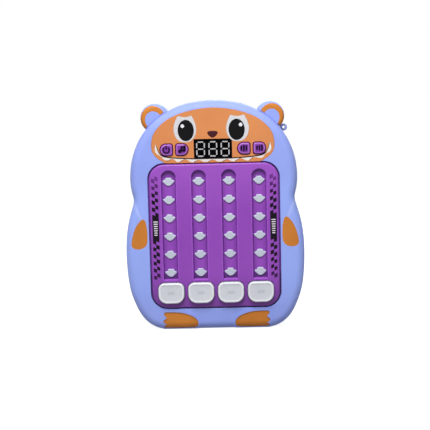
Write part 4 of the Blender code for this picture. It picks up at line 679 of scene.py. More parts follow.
mouth = {
    "halfWidth": 0.0408, "foot": 0.1192, "height": 0.0126,
    "upper": (
        (0.0, 0.150), (0.330, 0.150), (0.345, 0.185), (0.500, 0.200), (0.667, 0.225), (0.794, 0.270),
        (0.858, 0.335), (0.901, 0.450), (0.938, 0.660), (0.967, 0.975),
    ),
    "tusks": {
        -1: ((0.967, 0.975), (0.982, 0.840), (0.985, 0.690), (0.972, 0.550), (0.940, 0.452), (0.902, 0.382),
             (0.868, 0.300), (0.836, 0.165), (0.790, 0.120), (0.742, 0.124), (0.700, 0.190)),
        1: ((0.967, 0.975), (0.985, 0.840), (0.991, 0.690), (0.978, 0.560), (0.946, 0.446), (0.920, 0.436),
            (0.900, 0.390), (0.878, 0.325), (0.855, 0.210), (0.818, 0.145), (0.785, 0.150), (0.704, 0.200)),
    },
    "teeth": (
        (0.672, 0.186), (0.615, 0.020), (0.565, 0.020), (0.482, 0.160), (0.455, 0.156), (0.375, -0.010),
        (0.320, -0.010), (0.250, 0.112), (0.228, 0.108), (0.155, -0.010), (0.085, -0.010), (0.014, 0.112),
        (0.0, 0.114),
    ),
}


def mouthPoint(x, z):
    return Vector((x * mouth["halfWidth"], mouth["foot"] + z * mouth["height"]))


def mouthOutline():
    # the row of teeth ends in a long tooth on each side, not quite alike
    halves = {}
    for side, tuskShares in mouth["tusks"].items():
        upper, tusk, teeth = (
            [mouthPoint(side * x, z) for x, z in shares]
            for shares in (mouth["upper"], tuskShares, mouth["teeth"])
        )
        cheek = smoothThrough([upper[2], *upper[3:], tusk[1]], 5)
        jaw = smoothThrough([upper[-2], *tusk, teeth[0]], 5)
        halves[side] = [*upper[:3], *cheek, *jaw, tusk[-1], *teeth]
    return halves[1] + halves[-1][-2:0:-1]


paw = {
    "handShares": (
        (0.270, 0.4920), (0.215, 0.4870), (0.160, 0.4640), (0.135, 0.4300), (0.145, 0.3960), (0.200, 0.3790),
        (0.300, 0.3690), (0.430, 0.3640), (0.580, 0.3640), (0.700, 0.3700), (0.755, 0.3820), (0.735, 0.4030),
        (0.665, 0.4330), (0.560, 0.4610), (0.440, 0.4800), (0.340, 0.4910),
    ),
    "footShares": (
        (0.810, 0.795), (0.660, 0.800), (0.545, 0.765), (0.438, 0.680), (0.355, 0.565), (0.304, 0.420),
        (0.296, 0.260), (0.328, 0.115), (0.425, 0.085), (0.560, 0.080), (0.720, 0.085), (0.815, 0.110),
        (0.830, 0.180), (0.795, 0.260), (0.830, 0.340), (0.840, 0.430), (0.790, 0.550), (0.825, 0.680),
    ),
    "beadShares": 12, "beadEnd": (0.845, 0.43),  # the bead takes so many of the foot's shares
    "sideBand": 0.01805, "footBand": 0.0162,
}


def handOutline(side):
    edge, band = panel["width"] / 2, paw["sideBand"]
    return closedSmooth([(side * (edge + x * band), z * toy["height"]) for x, z in paw["handShares"]], 5)


def footOutline(side):
    half = panel["width"] / 2
    return closedSmooth([(side * x * half, z * paw["footBand"]) for x, z in paw["footShares"]], 5)


def beadOutline(side, reach):
    # runs past the toes, where the foot's own outline is too wavy to be drawn out
    half = panel["width"] / 2
    shares = [*paw["footShares"][:paw["beadShares"]], paw["beadEnd"]]
    line = closedSmooth([(side * x * half, z * paw["footBand"]) for x, z in shares], 5)
    return [Vector((p.x, max(p.y, cover["beadFoot"]))) for p in offset(line, -reach)]


# about the middle of the ear, from the crown round to the cheek
earRing = {
    "outer": (
        (-0.00645, 0.0036), (-0.0050, 0.00575), (-0.00233, 0.00765), (0.0003, 0.0085), (0.0030, 0.0084),
        (0.0056, 0.0072), (0.00785, 0.0050), (0.0092, 0.0022), (0.00965, -0.0007), (0.0093, -0.0038),
        (0.0083, -0.0062), (0.0070, -0.00775),
    ),
    "inner": (
        (0.0039, -0.0063), (0.0054, -0.0050), (0.0064, -0.0031), (0.0067, -0.0007), (0.0062, 0.00177),
        (0.0046, 0.0038), (0.0025, 0.0049), (-0.0001, 0.0049), (-0.0021, 0.0041), (-0.0035, 0.0028),
        (-0.0042, 0.0011),
    ),
    "spacing": 0.0004, "relaxing": 4,
}


def earRingOutline(side):
    cx, cz = ear["centre"]
    edges = []
    for half in ("outer", "inner"):
        points = [Vector((side * (cx + x), cz + z)) for x, z in earRing[half]]
        edges += openSmooth(points, 5)
    return relaxed(evenly(edges, earRing["spacing"]), earRing["relaxing"])


# about the middle of the keys
display = {
    "left": 0.0130, "right": 0.0131, "below": 0.00635, "above": 0.0068, "front": 0.0009, "back": 0.0104,
    "edge": 0.00015, "play": 0.00002, "digits": 3, "pitch": 0.0085, "width": 0.0061, "height": 0.0106,
    "segment": 0.00082, "gap": 0.00072, "segmentSunk": 0.0001, "segmentThick": 0.0003,
}


def displayOutline(grow=0.0):
    low, high = toy["keyZ"] - display["below"] - grow, toy["keyZ"] + display["above"] + grow
    return slab(-display["left"] - grow, display["right"] + grow, low, high)


# the key's ring values place the thin maroon band of painted shade round it
key = {
    "width": 0.0083, "height": 0.0078, "round": 0.0037, "corner": 0.0014, "proud": 0.0012, "edge": 0.0009,
    "clear": 0.00025, "ring": 0.00065, "crown": ((0.0028, 0.0001), (0.0016, 0.00006)),
    "flange": 0.0007, "flangeFront": 0.005, "flangeBack": 0.0058, "gapShadeProud": 0.00006, "gapShadeBack": 0.0003,
    "markProud": 0.00013, "markThick": 0.0002, "rimRings": (2, 5),
}


def keyOutline(x, grow=0.0, steps=10):
    # round towards the cheek on an outer key, and towards the display on an inner one
    outer = x in (toy["keyColumns"]["power"], toy["keyColumns"]["tempo"])
    large, small = key["round"] + grow, key["corner"] + grow
    radii = (large, small, small, large) if (x > 0) == outer else (small, large, large, small)
    return roundedBox(key["width"] + 2 * grow, key["height"] + 2 * grow, (x, toy["keyZ"]), radii, steps)


# Silicone cover
cover = {
    "lip": 0.009, "lipEdge": 0.0006, "lipWall": 0.002, "windowGap": 0.0008, "sideGap": 0.0003, "rim": 0.0005,
    "faceRim": 0.0002, "pocketGap": 0.0003, "openingGap": 0.0003, "earSunk": 0.0008, "headKept": 0.0006,
    "footBead": (
        (0.0025, 0.00018), (0.0022, 0.00036), (0.0018, 0.00050), (0.0013, 0.00058), (0.0007, 0.00052),
    ),
    "beadFoot": 0.0004, "beadRoot": 0.001, "beadBack": 0.004,
}
inlay = {
    "thick": 0.0012, "tight": 0.00013, "headClear": 0.0008, "faceEdge": 0.0003, "eyeEdge": 0.0001,
    "noseProud": 0.0003, "noseEdge": 0.0005, "toothEdge": 0.00006, "toothTight": 0.0001, "pupilDome": 0.0002,
    "glintFront": -0.00026, "glintBack": -0.0001,
}


def coverStations():
    # down the outside, in round the lip and back up the inside
    wall, depth, edge = toy["wall"], toy["depth"], toy["edge"]
    lip, lipEdge, lipFront = cover["lip"], cover["lipEdge"], depth - cover["lipWall"]
    outside = [(edge + capGap, 0.0), *arcStations(0.0, 0.0, edge, 10)]
    outside += arcStations(0.0, depth, -edge, 10)[::-1]
    turns = [math.pi / 2 * i / 4 for i in range(5)]
    outside += [(lip - lipEdge * (1 - math.sin(t)), depth - lipEdge * (1 - math.cos(t))) for t in turns]
    inside = arcStations(wall, wall, edge - wall, 3) + arcStations(wall, lipFront, wall - edge, 3)[::-1]
    return [*outside, (lip, lipFront), *inside[::-1]]


def footBeads():
    # thin layers, each higher and narrower than the one outside it
    beads = []
    for reach, height in cover["footBead"]:
        outlines = [beadOutline(side, reach) for side in sides.values()]
        beads.append(carve(prism("footBead", outlines, -past, cover["beadBack"]), [
            ("INTERSECT", bodySkin("raisedSkin", -height)),
            ("DIFFERENCE", bodySkin("beadRoot", cover["beadRoot"], 4)),
        ]))
    return beads


def buildCover():
    wall, seam, gap = toy["wall"], toy["seam"], cover["openingGap"]
    obj = solid("coverSkin", [ringsAt(bodyLine, coverStations())], looks["coverBlue"])
    caseSpace = bodySkin("caseSpace", wall - cover["earSunk"], 4)
    ears = carve(earSkin("earLumps", 0.0), [("DIFFERENCE", caseSpace)])
    pocket = inlay["thick"] + cover["pocketGap"]
    limbs = [
        offset(outlineOf(side), -seam) for side in sides.values() for outlineOf in (handOutline, footOutline)
    ]
    limbPockets = prism("limbPockets", limbs, -past, toy["edge"])
    carve(limbPockets, [("DIFFERENCE", bodySkin("pocketFloor", pocket, 6))])
    rings = [offset(earRingOutline(side), -seam) for side in sides.values()]
    earPockets = prism("earPockets", rings, ear["front"] - past, ear["front"] + ear["edge"] + pocket)
    carve(earPockets, [
        ("DIFFERENCE", earSkin("earFloor", pocket)),
        ("DIFFERENCE", bodySkin("headKeep", -cover["headKept"], 6)),
    ])
    openings = [displayOutline(gap), *(keyOutline(x, key["clear"]) for x in toy["keyColumns"].values())]
    loopSlot = prism("loopSlot", [loopOutline(gap)], loop["near"] - gap, loop["far"] + gap)
    wider = 1 + cover["sideGap"] / panel["width"] * 2
    window = [Vector((p.x * wider, p.y)) for p in panelOutline(cover["windowGap"])]
    faceLine = offset(faceOutline(), -seam)
    carve(obj, [
        ("UNION", ears),
        *(("UNION", bead) for bead in footBeads()),
        ("DIFFERENCE", softCutter("panelWindow", [window], 0.0, wall + past, cover["rim"])),
        ("DIFFERENCE", softCutter("facePocket", [faceLine], 0.0, pocket, cover["faceRim"], 3)),
        ("DIFFERENCE", limbPockets),
        ("DIFFERENCE", earPockets),
        ("DIFFERENCE", prism("faceOpenings", openings, pocket - past, wall + past)),
        ("DIFFERENCE", loopSlot),
    ])
    return seat(smooth(obj), "game", "periwinkle_silicone", "silicone_cover")


loop = {
    "radius": 0.0026, "hole": 0.0009, "near": 0.020, "far": 0.0225, "neck": 0.0034, "reach": 0.0023,
    "edge": 0.0005,
    "shares": (0.766, 0.8668),  # where it leaves the body's outline
}


def loopPlace():
    # just outside the cover beside the ear, and the direction out of the body there
    half, height = toy["width"] / 2, toy["height"]
    above, below = (Vector((x * half, z * height)) for x, z in bodyShape["head"][5:7])
    along = (below - above).normalized()
    outwards = Vector((-along.y, along.x))
    x, z = loop["shares"]
    return Vector((x * half, z * height)) + outwards * loop["reach"], outwards


def loopOutline(grow=0.0):
    centre, outwards = loopPlace()
    across = Vector((-outwards.y, outwards.x))
    radius, neck = loop["radius"] + grow, loop["neck"] + 2 * grow
    opening = math.asin(neck / 2 / radius)
    start = math.atan2(-outwards.y, -outwards.x) + opening
    turns = [start + (2 * math.pi - 2 * opening) * i / 40 for i in range(41)]
    outline = [centre + Vector((math.cos(t), math.sin(t))) * radius for t in turns]
    inner = centre - outwards * (loop["reach"] + toy["caseInset"] + toy["shellWall"] / 2)
    return outline + [inner + across * neck / 2, inner - across * neck / 2]


buildCover()
print("cover made")


# Silicone set into the cover
def buildPads():
    # hands, feet and ear rings
    thick, tight = inlay["thick"], inlay["tight"]
    for sideName, side in sides.items():
        for limb, outlineOf in (("hand", handOutline), ("foot", footOutline)):
            outline = offset(outlineOf(side), -tight)
            pad = prism(f"{limb}Pad.{sideName}", [outline], -past, toy["edge"], looks["pawOrange"])
            carve(pad, [
                ("INTERSECT", bodySkin("padSkin", 0.0)),
                ("DIFFERENCE", bodySkin("padRoot", thick, 6)),
            ])
            seat(smooth(pad), "game", "orange_silicone", f"{sideName}_{limb}_inlay")
        outline = offset(earRingOutline(side), -tight)
        near, far = ear["front"] - past, ear["front"] + ear["edge"] + thick
        arc = prism(f"earArc.{sideName}", [outline], near, far, looks["pawOrange"])
        carve(arc, [
            ("INTERSECT", earSkin("arcSkin", 0.0)),
            ("DIFFERENCE", earSkin("arcRoot", thick)),
            ("DIFFERENCE", bodySkin("headClear", -inlay["headClear"], 6)),
        ])
        seat(smooth(arc), "game", "orange_silicone", f"{sideName}_ear_inlay")


def buildFacePlate():
    thick, seam = inlay["thick"], toy["seam"]
    outline = offset(faceOutline(), -inlay["tight"])
    plate = softPlate("facePlate", outline, 0.0, thick, inlay["faceEdge"], looks["faceOrange"])
    # outlines, the radius of their rim and its steps
    holes = {
        "keyHoles": ([keyOutline(x, key["clear"]) for x in toy["keyColumns"].values()], 0.0003, 4),
        "displayHole": ([displayOutline(0.0002)], 0.0001, 2),
        "eyeHoles": ([offset(eyeOutline(side), -seam) for side in sides.values()], 0.0001, 2),
        "noseHole": ([offset(noseOutline(), -seam)], 0.0001, 2),
        "mouthHole": ([offset(mouthOutline(), -seam)], 0.00005, 1),
    }
    carve(plate, [
        ("DIFFERENCE", softCutter(name, outlines, 0.0, thick + past, rim, steps))
        for name, (outlines, rim, steps) in holes.items()
    ])
    seat(smooth(plate), "game", "orange_silicone", "face_inlay")


def buildEyes():
    thick, tight = inlay["thick"], inlay["tight"]
    for sideName, side in sides.items():
        outline = offset(eyeOutline(side), -tight)
        eyeball = softPlate(f"eyeWhite.{sideName}", outline, 0.0, thick, inlay["eyeEdge"], looks["eyeWhite"])
        hole = prism("pupilHole", [pupilOutline(side, toy["seam"])], -past, thick + past)
        carve(eyeball, [("DIFFERENCE", hole)])
        seat(smooth(eyeball), "game", "white_silicone", f"{sideName}_eye_white")
        x, z, halfWidth, halfHeight = eye["pupil"]
        centre = Vector((side * x + eye["shift"], z))
        rings = [ring(pupilOutline(side, tight), depth) for depth in (thick, 0.0)]
        for t in [i / 8 for i in range(1, 8)]:  # a low dome
            outline = oval(centre, halfWidth * (1 - t * t), halfHeight * (1 - t * t), 64)
            rings.append(ring(outline, -inlay["pupilDome"] * t))
        pupil = solid(f"pupil.{sideName}", [rings], looks["pupilBlack"])
        seat(smooth(pupil, angle=50), "game", "black_silicone", f"{sideName}_eye_pupil")
        spot = oval(centre + Vector(eye["glints"][side]), eye["glintRadius"], eye["glintRadius"], 32)
        near, far = inlay["glintFront"], inlay["glintBack"]
        glint = prism(f"eyeGlint.{sideName}", [spot], near, far, looks["inkWhite"])
        seat(smooth(glint), "game", "white_silicone")


def buildNoseAndTeeth():
    outline, thick = offset(noseOutline(), -inlay["tight"]), inlay["thick"]
    bump = softPlate("noseButton", outline, -inlay["noseProud"], thick, inlay["noseEdge"], looks["noseBrown"])
    seat(smooth(bump), "game", "brown_silicone", "nose_inlay")
    outline = offset(mouthOutline(), -inlay["toothTight"])
    teeth = softPlate("toothRow", outline, 0.0, thick, inlay["toothEdge"], looks["toothWhite"], 2)
    seat(smooth(teeth), "game", "white_silicone", "teeth_inlay")


def inkLine(name, routes, near, thick, look, slot=None, body="game"):
    # printed lines: each route is a list of (x, z, width)
    sets = []
    for route in routes:
        points = [Vector(p[:2]) for p in route]
        left, right = [], []
        for i, point in enumerate(points):
            along = (points[min(i + 1, len(points) - 1)] - points[max(i - 1, 0)]).normalized()
            side = Vector((-along.y, along.x)) * route[i][2] / 2
            left.append(point + side)
            right.append(point - side)
        outline = left + right[::-1]
        sets.append([ring(outline, near), ring(outline, near + thick)])
    return seat(solid(name, sets, look), body, slot)


smile = {
    "route": (
        (0.0132, 0.1214), (0.0200, 0.1217), (0.0272, 0.1222), (0.0318, 0.1228), (0.0348, 0.1236),
        (0.0367, 0.1250), (0.0382, 0.1276), (0.0393, 0.1313),
    ),
    "width": 0.0007, "tip": 0.0003, "proud": 0.00006, "flankProud": 0.00004, "thick": 0.0003,
    "flankThick": 0.0002,
    # the dark edge at the display's foot
    "band": 0.0002, "bandProud": 0.00005, "bandFoot": 0.0001, "bandHead": 0.00015,
    # the shaded right flank of each tooth, in shares of the mouth with a width
    "flanks": (
        ((0.150, -0.004, 0.00035), (0.195, 0.050, 0.0003), (0.232, 0.112, 0.0002)),
        ((0.372, -0.004, 0.00035), (0.415, 0.075, 0.0003), (0.460, 0.160, 0.0002)),
        ((0.612, 0.026, 0.00035), (0.645, 0.105, 0.0003), (0.676, 0.192, 0.0002)),
        ((-0.088, -0.004, 0.00035), (-0.050, 0.050, 0.0003), (-0.012, 0.118, 0.0002)),
        ((-0.324, -0.004, 0.00035), (-0.286, 0.050, 0.0003), (-0.246, 0.118, 0.0002)),
        ((-0.568, 0.026, 0.00035), (-0.525, 0.090, 0.0003), (-0.478, 0.165, 0.0002)),
        ((-0.792, 0.066, 0.00035), (-0.745, 0.126, 0.0003), (-0.697, 0.197, 0.0002)),
    ),
}


def buildSmile():
    curve = openSmooth(smile["route"], 5)
    last = len(curve) - 1
    thinning = [max(0.0, i / last * 2 - 1) for i in range(last + 1)]
    widths = [smile["width"] + (smile["tip"] - smile["width"]) * share for share in thinning]
    routes = [[(side * p.x, p.y, width) for p, width in zip(curve, widths)] for side in sides.values()]
    inkLine("smileLine", routes, -smile["proud"], smile["thick"], looks["inkBlack"], "black_silicone")
    flanks = [[(*mouthPoint(x, z), width) for x, z, width in flank] for flank in smile["flanks"]]
    near, thick = -smile["flankProud"], smile["flankThick"]
    inkLine("toothLines", flanks, near, thick, looks["inkBrown"], "black_silicone")
    grow, foot = smile["band"], mouthPoint(*mouth["upper"][0]).y - smile["bandFoot"]
    head = toy["keyZ"] - display["below"] + smile["bandHead"]
    edge = slab(-display["left"] - grow, display["right"] + grow, foot, head)
    band = prism("displayFoot", [edge], -smile["bandProud"], smile["thick"], looks["inkBlack"])
    seat(band, "game", "black_silicone")


buildPads()
buildFacePlate()
buildEyes()
buildNoseAndTeeth()
buildSmile()
print("inlays made")


# Geometry Nodes trees repeat what comes in rows and patterns
def newTree(name, numbers, kinds=()):
    # numbers are inputs with their usual values; kinds are further inputs by socket type
    tree = bpy.data.node_groups.new(name, "GeometryNodeTree")
    tree.interface.new_socket(name="Geometry", in_out="INPUT", socket_type="NodeSocketGeometry")
    for label, value in numbers.items():
        kind = "NodeSocketInt" if isinstance(value, int) else "NodeSocketFloat"
        tree.interface.new_socket(name=label, in_out="INPUT", socket_type=kind).default_value = value
    for label, kind in (*kinds, ("Finish", "NodeSocketMaterial")):
        tree.interface.new_socket(name=label, in_out="INPUT", socket_type=kind)
    tree.interface.new_socket(name="Geometry", in_out="OUTPUT", socket_type="NodeSocketGeometry")
    return tree, tree.nodes.new("NodeGroupInput").outputs


def endTree(tree, given, points, **more):
    # copies of the piece at the points, as plain mesh in one finish
    inputs = {"Points": points, "Instance": given["Geometry"], **more}
    spread = newNode(tree, "GeometryNodeInstanceOnPoints", inputs)
    real = newNode(tree, "GeometryNodeRealizeInstances", {"Geometry": spread.outputs["Instances"]})
    coated = {"Geometry": real.outputs["Geometry"], "Material": given["Finish"]}
    coat = newNode(tree, "GeometryNodeSetMaterial", coated)
    newNode(tree, "NodeGroupOutput", {"Geometry": coat.outputs["Geometry"]})
    return tree


def joinedAxes(tree, **axisValues):
    return newNode(tree, "ShaderNodeCombineXYZ", axisValues).outputs["Vector"]


def pointIndex(tree):
    return tree.nodes.new("GeometryNodeInputIndex").outputs["Index"]


def rowTree():
    # copies of the piece in a row up the front, each one wider than the one before by Growth
    tree, given = newTree("risingRow", {"Count": 6, "Pitch": 0.01288, "Growth": 0.0})
    row = {"Count": given["Count"], "Offset": joinedAxes(tree, Z=given["Pitch"])}
    line = newNode(tree, "GeometryNodeMeshLine", row)
    grown = mathNode(tree, "MULTIPLY_ADD", pointIndex(tree), given["Growth"], 1.0)
    return endTree(tree, given, line.outputs["Mesh"], Scale=joinedAxes(tree, X=grown, Y=1.0, Z=1.0))


def spotTree():
    # copies of the piece at the points of another object, turned by the points' turn attribute
    tree, given = newTree("spots", {}, [("Spots", "NodeSocketObject")])
    places = newNode(tree, "GeometryNodeObjectInfo", {"Object": given["Spots"]})
    turn = newNode(tree, "GeometryNodeInputNamedAttribute", {"Name": "turn"}, data_type="FLOAT")
    about = joinedAxes(tree, Y=turn.outputs["Attribute"])
    return endTree(tree, given, places.outputs["Geometry"], Rotation=about)


def soundHoleTree():
    # one hole in the middle with rings of six and twelve about it
    tree, given = newTree("soundHoles", {"Pitch": 0.0038})
    joined = tree.nodes.new("GeometryNodeJoinGeometry")
    for holes, pitches in ((12, 2.0), (6, 1.0)):
        radius = mathNode(tree, "MULTIPLY", given["Pitch"], pitches)
        circle = newNode(tree, "GeometryNodeMeshCircle", {"Vertices": holes, "Radius": radius})
        tree.links.new(circle.outputs["Mesh"], joined.inputs["Geometry"])
    middle = newNode(tree, "GeometryNodeMeshLine", {"Count": 1})
    tree.links.new(middle.outputs["Mesh"], joined.inputs["Geometry"])
    upright = {"Geometry": joined.outputs["Geometry"], "Rotation": (math.pi / 2, 0.0, 0.0)}
    return endTree(tree, given, newNode(tree, "GeometryNodeTransform", upright).outputs["Geometry"])


def checkerTree():
    # slanted squares in two columns; each one is a little smaller than the one before, give or take a chance
    tree, given = newTree("checkerStrip", {
        "Count": 10, "Pitch": 0.0049, "Rise": 0.0013, "Sway": 0.0019, "Fade": 0.45, "Seed": 4,
    })
    line = newNode(tree, "GeometryNodeMeshLine", {"Count": given["Count"], "Offset": (0.0, 0.0, 0.0)})
    index = pointIndex(tree)
    parity = mathNode(tree, "MODULO", index, 2.0)
    pair = mathNode(tree, "FLOOR", mathNode(tree, "DIVIDE", index, 2.0))
    aside = mathNode(tree, "MULTIPLY", mathNode(tree, "SUBTRACT", parity, 0.5), given["Sway"])
    rise = mathNode(tree, "MULTIPLY", parity, given["Rise"])
    shift = joinedAxes(tree, X=aside, Z=mathNode(tree, "MULTIPLY_ADD", pair, given["Pitch"], rise))
    swayed = newNode(tree, "GeometryNodeSetPosition", {"Geometry": line.outputs["Mesh"], "Offset": shift})
    bounds = {2: 0.92, 3: 1.08, "Seed": given["Seed"]}
    chance = newNode(tree, "FunctionNodeRandomValue", bounds, data_type="FLOAT")
    share = mathNode(tree, "DIVIDE", index, given["Count"])
    shrunk = mathNode(tree, "SUBTRACT", 1.0, mathNode(tree, "MULTIPLY", share, given["Fade"]))
    size = mathNode(tree, "MULTIPLY", shrunk, chance.outputs[1])
    return endTree(tree, given, swayed.outputs["Geometry"], Scale=size)


def moveBy(obj, *steps):
    for step in steps:
        obj.data.transform(step)
    return obj


def repeated(obj, tree, place, **values):
    # the tree's result about the origin becomes the mesh, moved to its place
    modifier = obj.modifiers.new(tree.name, "NODES")
    modifier.node_group = tree
    for item in tree.interface.items_tree:
        if item.in_out == "INPUT" and item.name in values:
            modifier[item.identifier] = values[item.name]
    return moveBy(evaluated(obj), Matrix.Translation(place))


risingRow, spots, soundHoles, checkerStrip = rowTree(), spotTree(), soundHoleTree(), checkerTree()


def centred(name, outline, near, far):
    # a plate about the origin, for a tree to copy; depths count from the origin
    return solid(name, [[ringAt(outline, near), ringAt(outline, far)]])


def scatter(piece, centres, turn, depth, look):
    # copies of the piece at each (x, z), at one depth
    mesh = bpy.data.meshes.new("spotPoints")
    mesh.from_pydata([(x, 0.0, z) for x, z in centres], [], [])
    mesh.attributes.new("turn", "FLOAT", "POINT").data.foreach_set("value", [turn] * len(centres))
    points = bpy.data.objects.new("spotPoints", mesh)
    bpy.context.scene.collection.objects.link(points)
    repeated(piece, spots, (0.0, toy["frontY"] + depth, 0.0), Spots=points, Finish=look)
    bpy.data.objects.remove(points)
    return piece


def mark(obj, name, values):
    # a value for each point, for the finish to read
    obj.data.attributes.new(name, "FLOAT", "POINT").data.foreach_set("value", values)


# Case front with the panel
groove = {
    "foot": 0.0369, "head": 0.1137, "width": 0.0103, "floor": 0.0016, "ramp": 0.0010, "face": -0.0008,
    # the wall, as insets with depths down from the panel's face and then up from the floor
    "rim": ((-0.00025, -past), (-0.00025, 0.0), (-0.00015, 0.00004), (-0.00005, 0.00013), (0.0, 0.0003)),
    "wall": ((0.0004, 0.0008), (0.0006, 0.0003), (0.00085, 0.0)),
    "backing": 0.0012, "backingDepths": (0.0002, 0.0028),
}
lamp = {
    "first": 0.0412, "pitch": 0.01288, "count": 6, "width": 0.0084, "height": 0.0057, "front": 0.0007,
    "shares": (
        (0.0, 1.0), (0.28, 1.0), (0.42, 0.96), (0.49, 0.82), (0.55, 0.60), (0.70, 0.46), (0.86, 0.36),
        (0.98, 0.24), (0.99, 0.08), (0.90, -0.12), (0.70, -0.42), (0.46, -0.74), (0.22, -0.95), (0.0, -1.0),
    ),
    # a gem tapers to its front by these shares, and its depth is in shares of its length
    "flat": 0.36, "taper": 0.14, "length": 0.005, "back": 0.6, "play": 0.0001, "holeUp": 0.0004,
    "plate": (0.0031, 0.0043), "plateInset": 0.0003, "plateFoot": 0.0012,
}


def gemOutline(grow=0.0):
    right = [(x * lamp["width"] / 2, z * lamp["height"] / 2) for x, z in lamp["shares"]]
    return offset(closedSmooth(mirrored(right), 3), -grow)


def grooveOutline(x, shrink, foot):
    radius = groove["width"] / 2 - shrink
    arc = oval((x, groove["head"] - groove["width"] / 2), radius, radius, 64)[:33]
    return [*arc, Vector((x - radius, foot)), Vector((x + radius, foot))]


# the dish is given by (inset, sunk) from its middle outwards
button = {
    "width": 0.0181, "height": 0.0145, "topRadius": 0.0043, "footRadius": 0.006, "top": -0.0038,
    "edge": 0.0009,
    "dish": (
        (0.0070, 0.00045), (0.0055, 0.00042), (0.0035, 0.00036), (0.0022, 0.00028), (0.0016, 0.00022),
        (0.0013, 0.00006), (0.0011, 0.0),
    ),
    "flange": 0.0007, "flangeFront": 0.0013, "flangeBack": 0.0023, "hollow": 0.0015, "ceiling": 0.0016,
    "stem": 0.0022, "stemBack": 0.0058, "play": 0.0004,
    "pill": (0.0052, 0.0023), "pillUp": 0.0002, "pillFront": 0.0004, "pillBack": 0.0006, "rimRings": (5, 13),
}


def buttonOutline(x, grow=0.0, steps=12):
    tops, feet = button["topRadius"] + grow, button["footRadius"] + grow
    width, height = button["width"] + 2 * grow, button["height"] + 2 * grow
    return roundedBox(width, height, (x, toy["buttonZ"]), (tops, tops, feet, feet), steps)


case = {
    "bosses": ((0.022, 0.14285), (0.04901, 0.0686), (0.03, 0.0134)), "bossRadius": 0.003, "ribSunk": 0.0008,
    "screwHole": (0.0014, 0.0092),
    "posts": ((0.021, 0.1362), (0.021, 0.0455)), "postFront": 0.0002,
    # (radius, depth): the post, its neck through the board and its melted end
    "post": ((0.0022, 0.0104), (0.0011, 0.0104), (0.0011, 0.0126), (0.002, 0.0126), (0.001, 0.0136)),
    "innerEdge": 0.0013, "panelHole": 0.0008, "keyPlay": 0.0008, "displayPlay": 0.0003,
    # the raised panel: its rounded rim, then its skirt as (grow, depth)
    "rimEdge": 0.0012, "rimCap": 0.0018, "skirt": ((0, 0.0042), (-0.0016, 0.0042), (-0.0016, 0.001)),
    "buttonRim": 0.00018,
}


def bothSides(places):
    return [(side * x, z) for x, z in places for side in sides.values()]


def turned(centre, profile, steps=32):
    return [ring(oval(centre, radius, radius, steps), depth) for radius, depth in profile]


def panelCup():
    top, edge = groove["face"], case["rimEdge"]
    rim = [(-case["rimCap"], top), *((-inset, depth) for inset, depth in arcStations(0.0, top, edge, 7))]
    return solid("panelCup", [[ring(panelOutline(grow), depth) for grow, depth in (*rim, *case["skirt"])]])


def shellRibs(wallBack):
    # backing of the grooves, screw bosses and the posts that hold the board
    ribs = []
    for x in toy["columns"]:
        outline = grooveOutline(x, -groove["backing"], groove["foot"] - groove["backing"])
        ribs.append([ring(outline, depth) for depth in groove["backingDepths"]])
    for place in bothSides(case["bosses"]):
        depths = (wallBack - case["ribSunk"], toy["split"])
        ribs.append(turned(place, [(case["bossRadius"], depth) for depth in depths]))
    for place in bothSides(case["posts"]):
        front = case["postFront"] if place[1] < panel["top"] else wallBack - case["ribSunk"]
        ribs.append(turned(place, [(case["post"][0][0], front), *case["post"]], 20))
    return solid("shellRibs", ribs)


def grooveCutter():
    # the foot of each groove ramps up to the panel's face
    top, floor = groove["face"], groove["floor"]
    cuts = [(shrink, top + down) for shrink, down in groove["rim"]]
    cuts += [(shrink, floor - up) for shrink, up in groove["wall"]]
    sets = []
    for x in toy["columns"]:
        rings = []
        for shrink, depth in cuts:
            rise = min(1.0, max(0.0, (floor - depth) / (floor - top)))
            rings.append(ring(grooveOutline(x, shrink, groove["foot"] - groove["ramp"] * rise), depth))
        sets.append(rings)
    return solid("grooves", sets)


def buildPanelShell():
    inset, wall, split = toy["caseInset"], toy["shellWall"], toy["split"]
    wallBack, top = inset + wall, groove["face"]
    outside = arcStations(inset, inset, toy["edge"] - inset, 4)
    inside = arcStations(wallBack, wallBack, case["innerEdge"], 3)
    stations = [*outside, (inset, split), (wallBack, split), *inside[::-1]]
    obj = solid("panelShell", [ringsAt(coarseLine, stations)], looks["panelPurple"])
    hole = panelOutline(-case["panelHole"], 6)
    gems = [
        [Vector((p.x + x, p.y + lamp["first"] + row * lamp["pitch"])) for p in gemOutline(lamp["play"])]
        for x in toy["columns"] for row in range(lamp["count"])
    ]
    gemFront, gemBack = groove["floor"] - lamp["holeUp"], groove["backingDepths"][1] + past
    buttons = [buttonOutline(x, button["play"]) for x in toy["columns"]]
    skirtFront = case["skirt"][-1][1]
    openings = [keyOutline(x, case["keyPlay"]) for x in toy["keyColumns"].values()]
    openings.append(displayOutline(case["displayPlay"]))
    radius, start = case["screwHole"]
    bore = [(radius, start), (radius, split + past)]
    screwHoles = [turned(place, bore, 20) for place in bothSides(case["bosses"])]
    carve(obj, [
        ("DIFFERENCE", prism("panelHole", [hole], inset - past, wallBack + past)),
        ("UNION", panelCup()),
        ("UNION", shellRibs(wallBack)),
        ("DIFFERENCE", grooveCutter()),
        ("DIFFERENCE", prism("gemHoles", gems, gemFront, gemBack)),
        ("DIFFERENCE", softCutter("buttonHoles", buttons, top, skirtFront + past, case["buttonRim"])),
        ("DIFFERENCE", prism("shellOpenings", openings, inset - past, wallBack + past)),
        ("DIFFERENCE", solid("screwHoles", screwHoles)),
    ])
    seat(smooth(obj), "game", "purple_plastic", "front_shell")


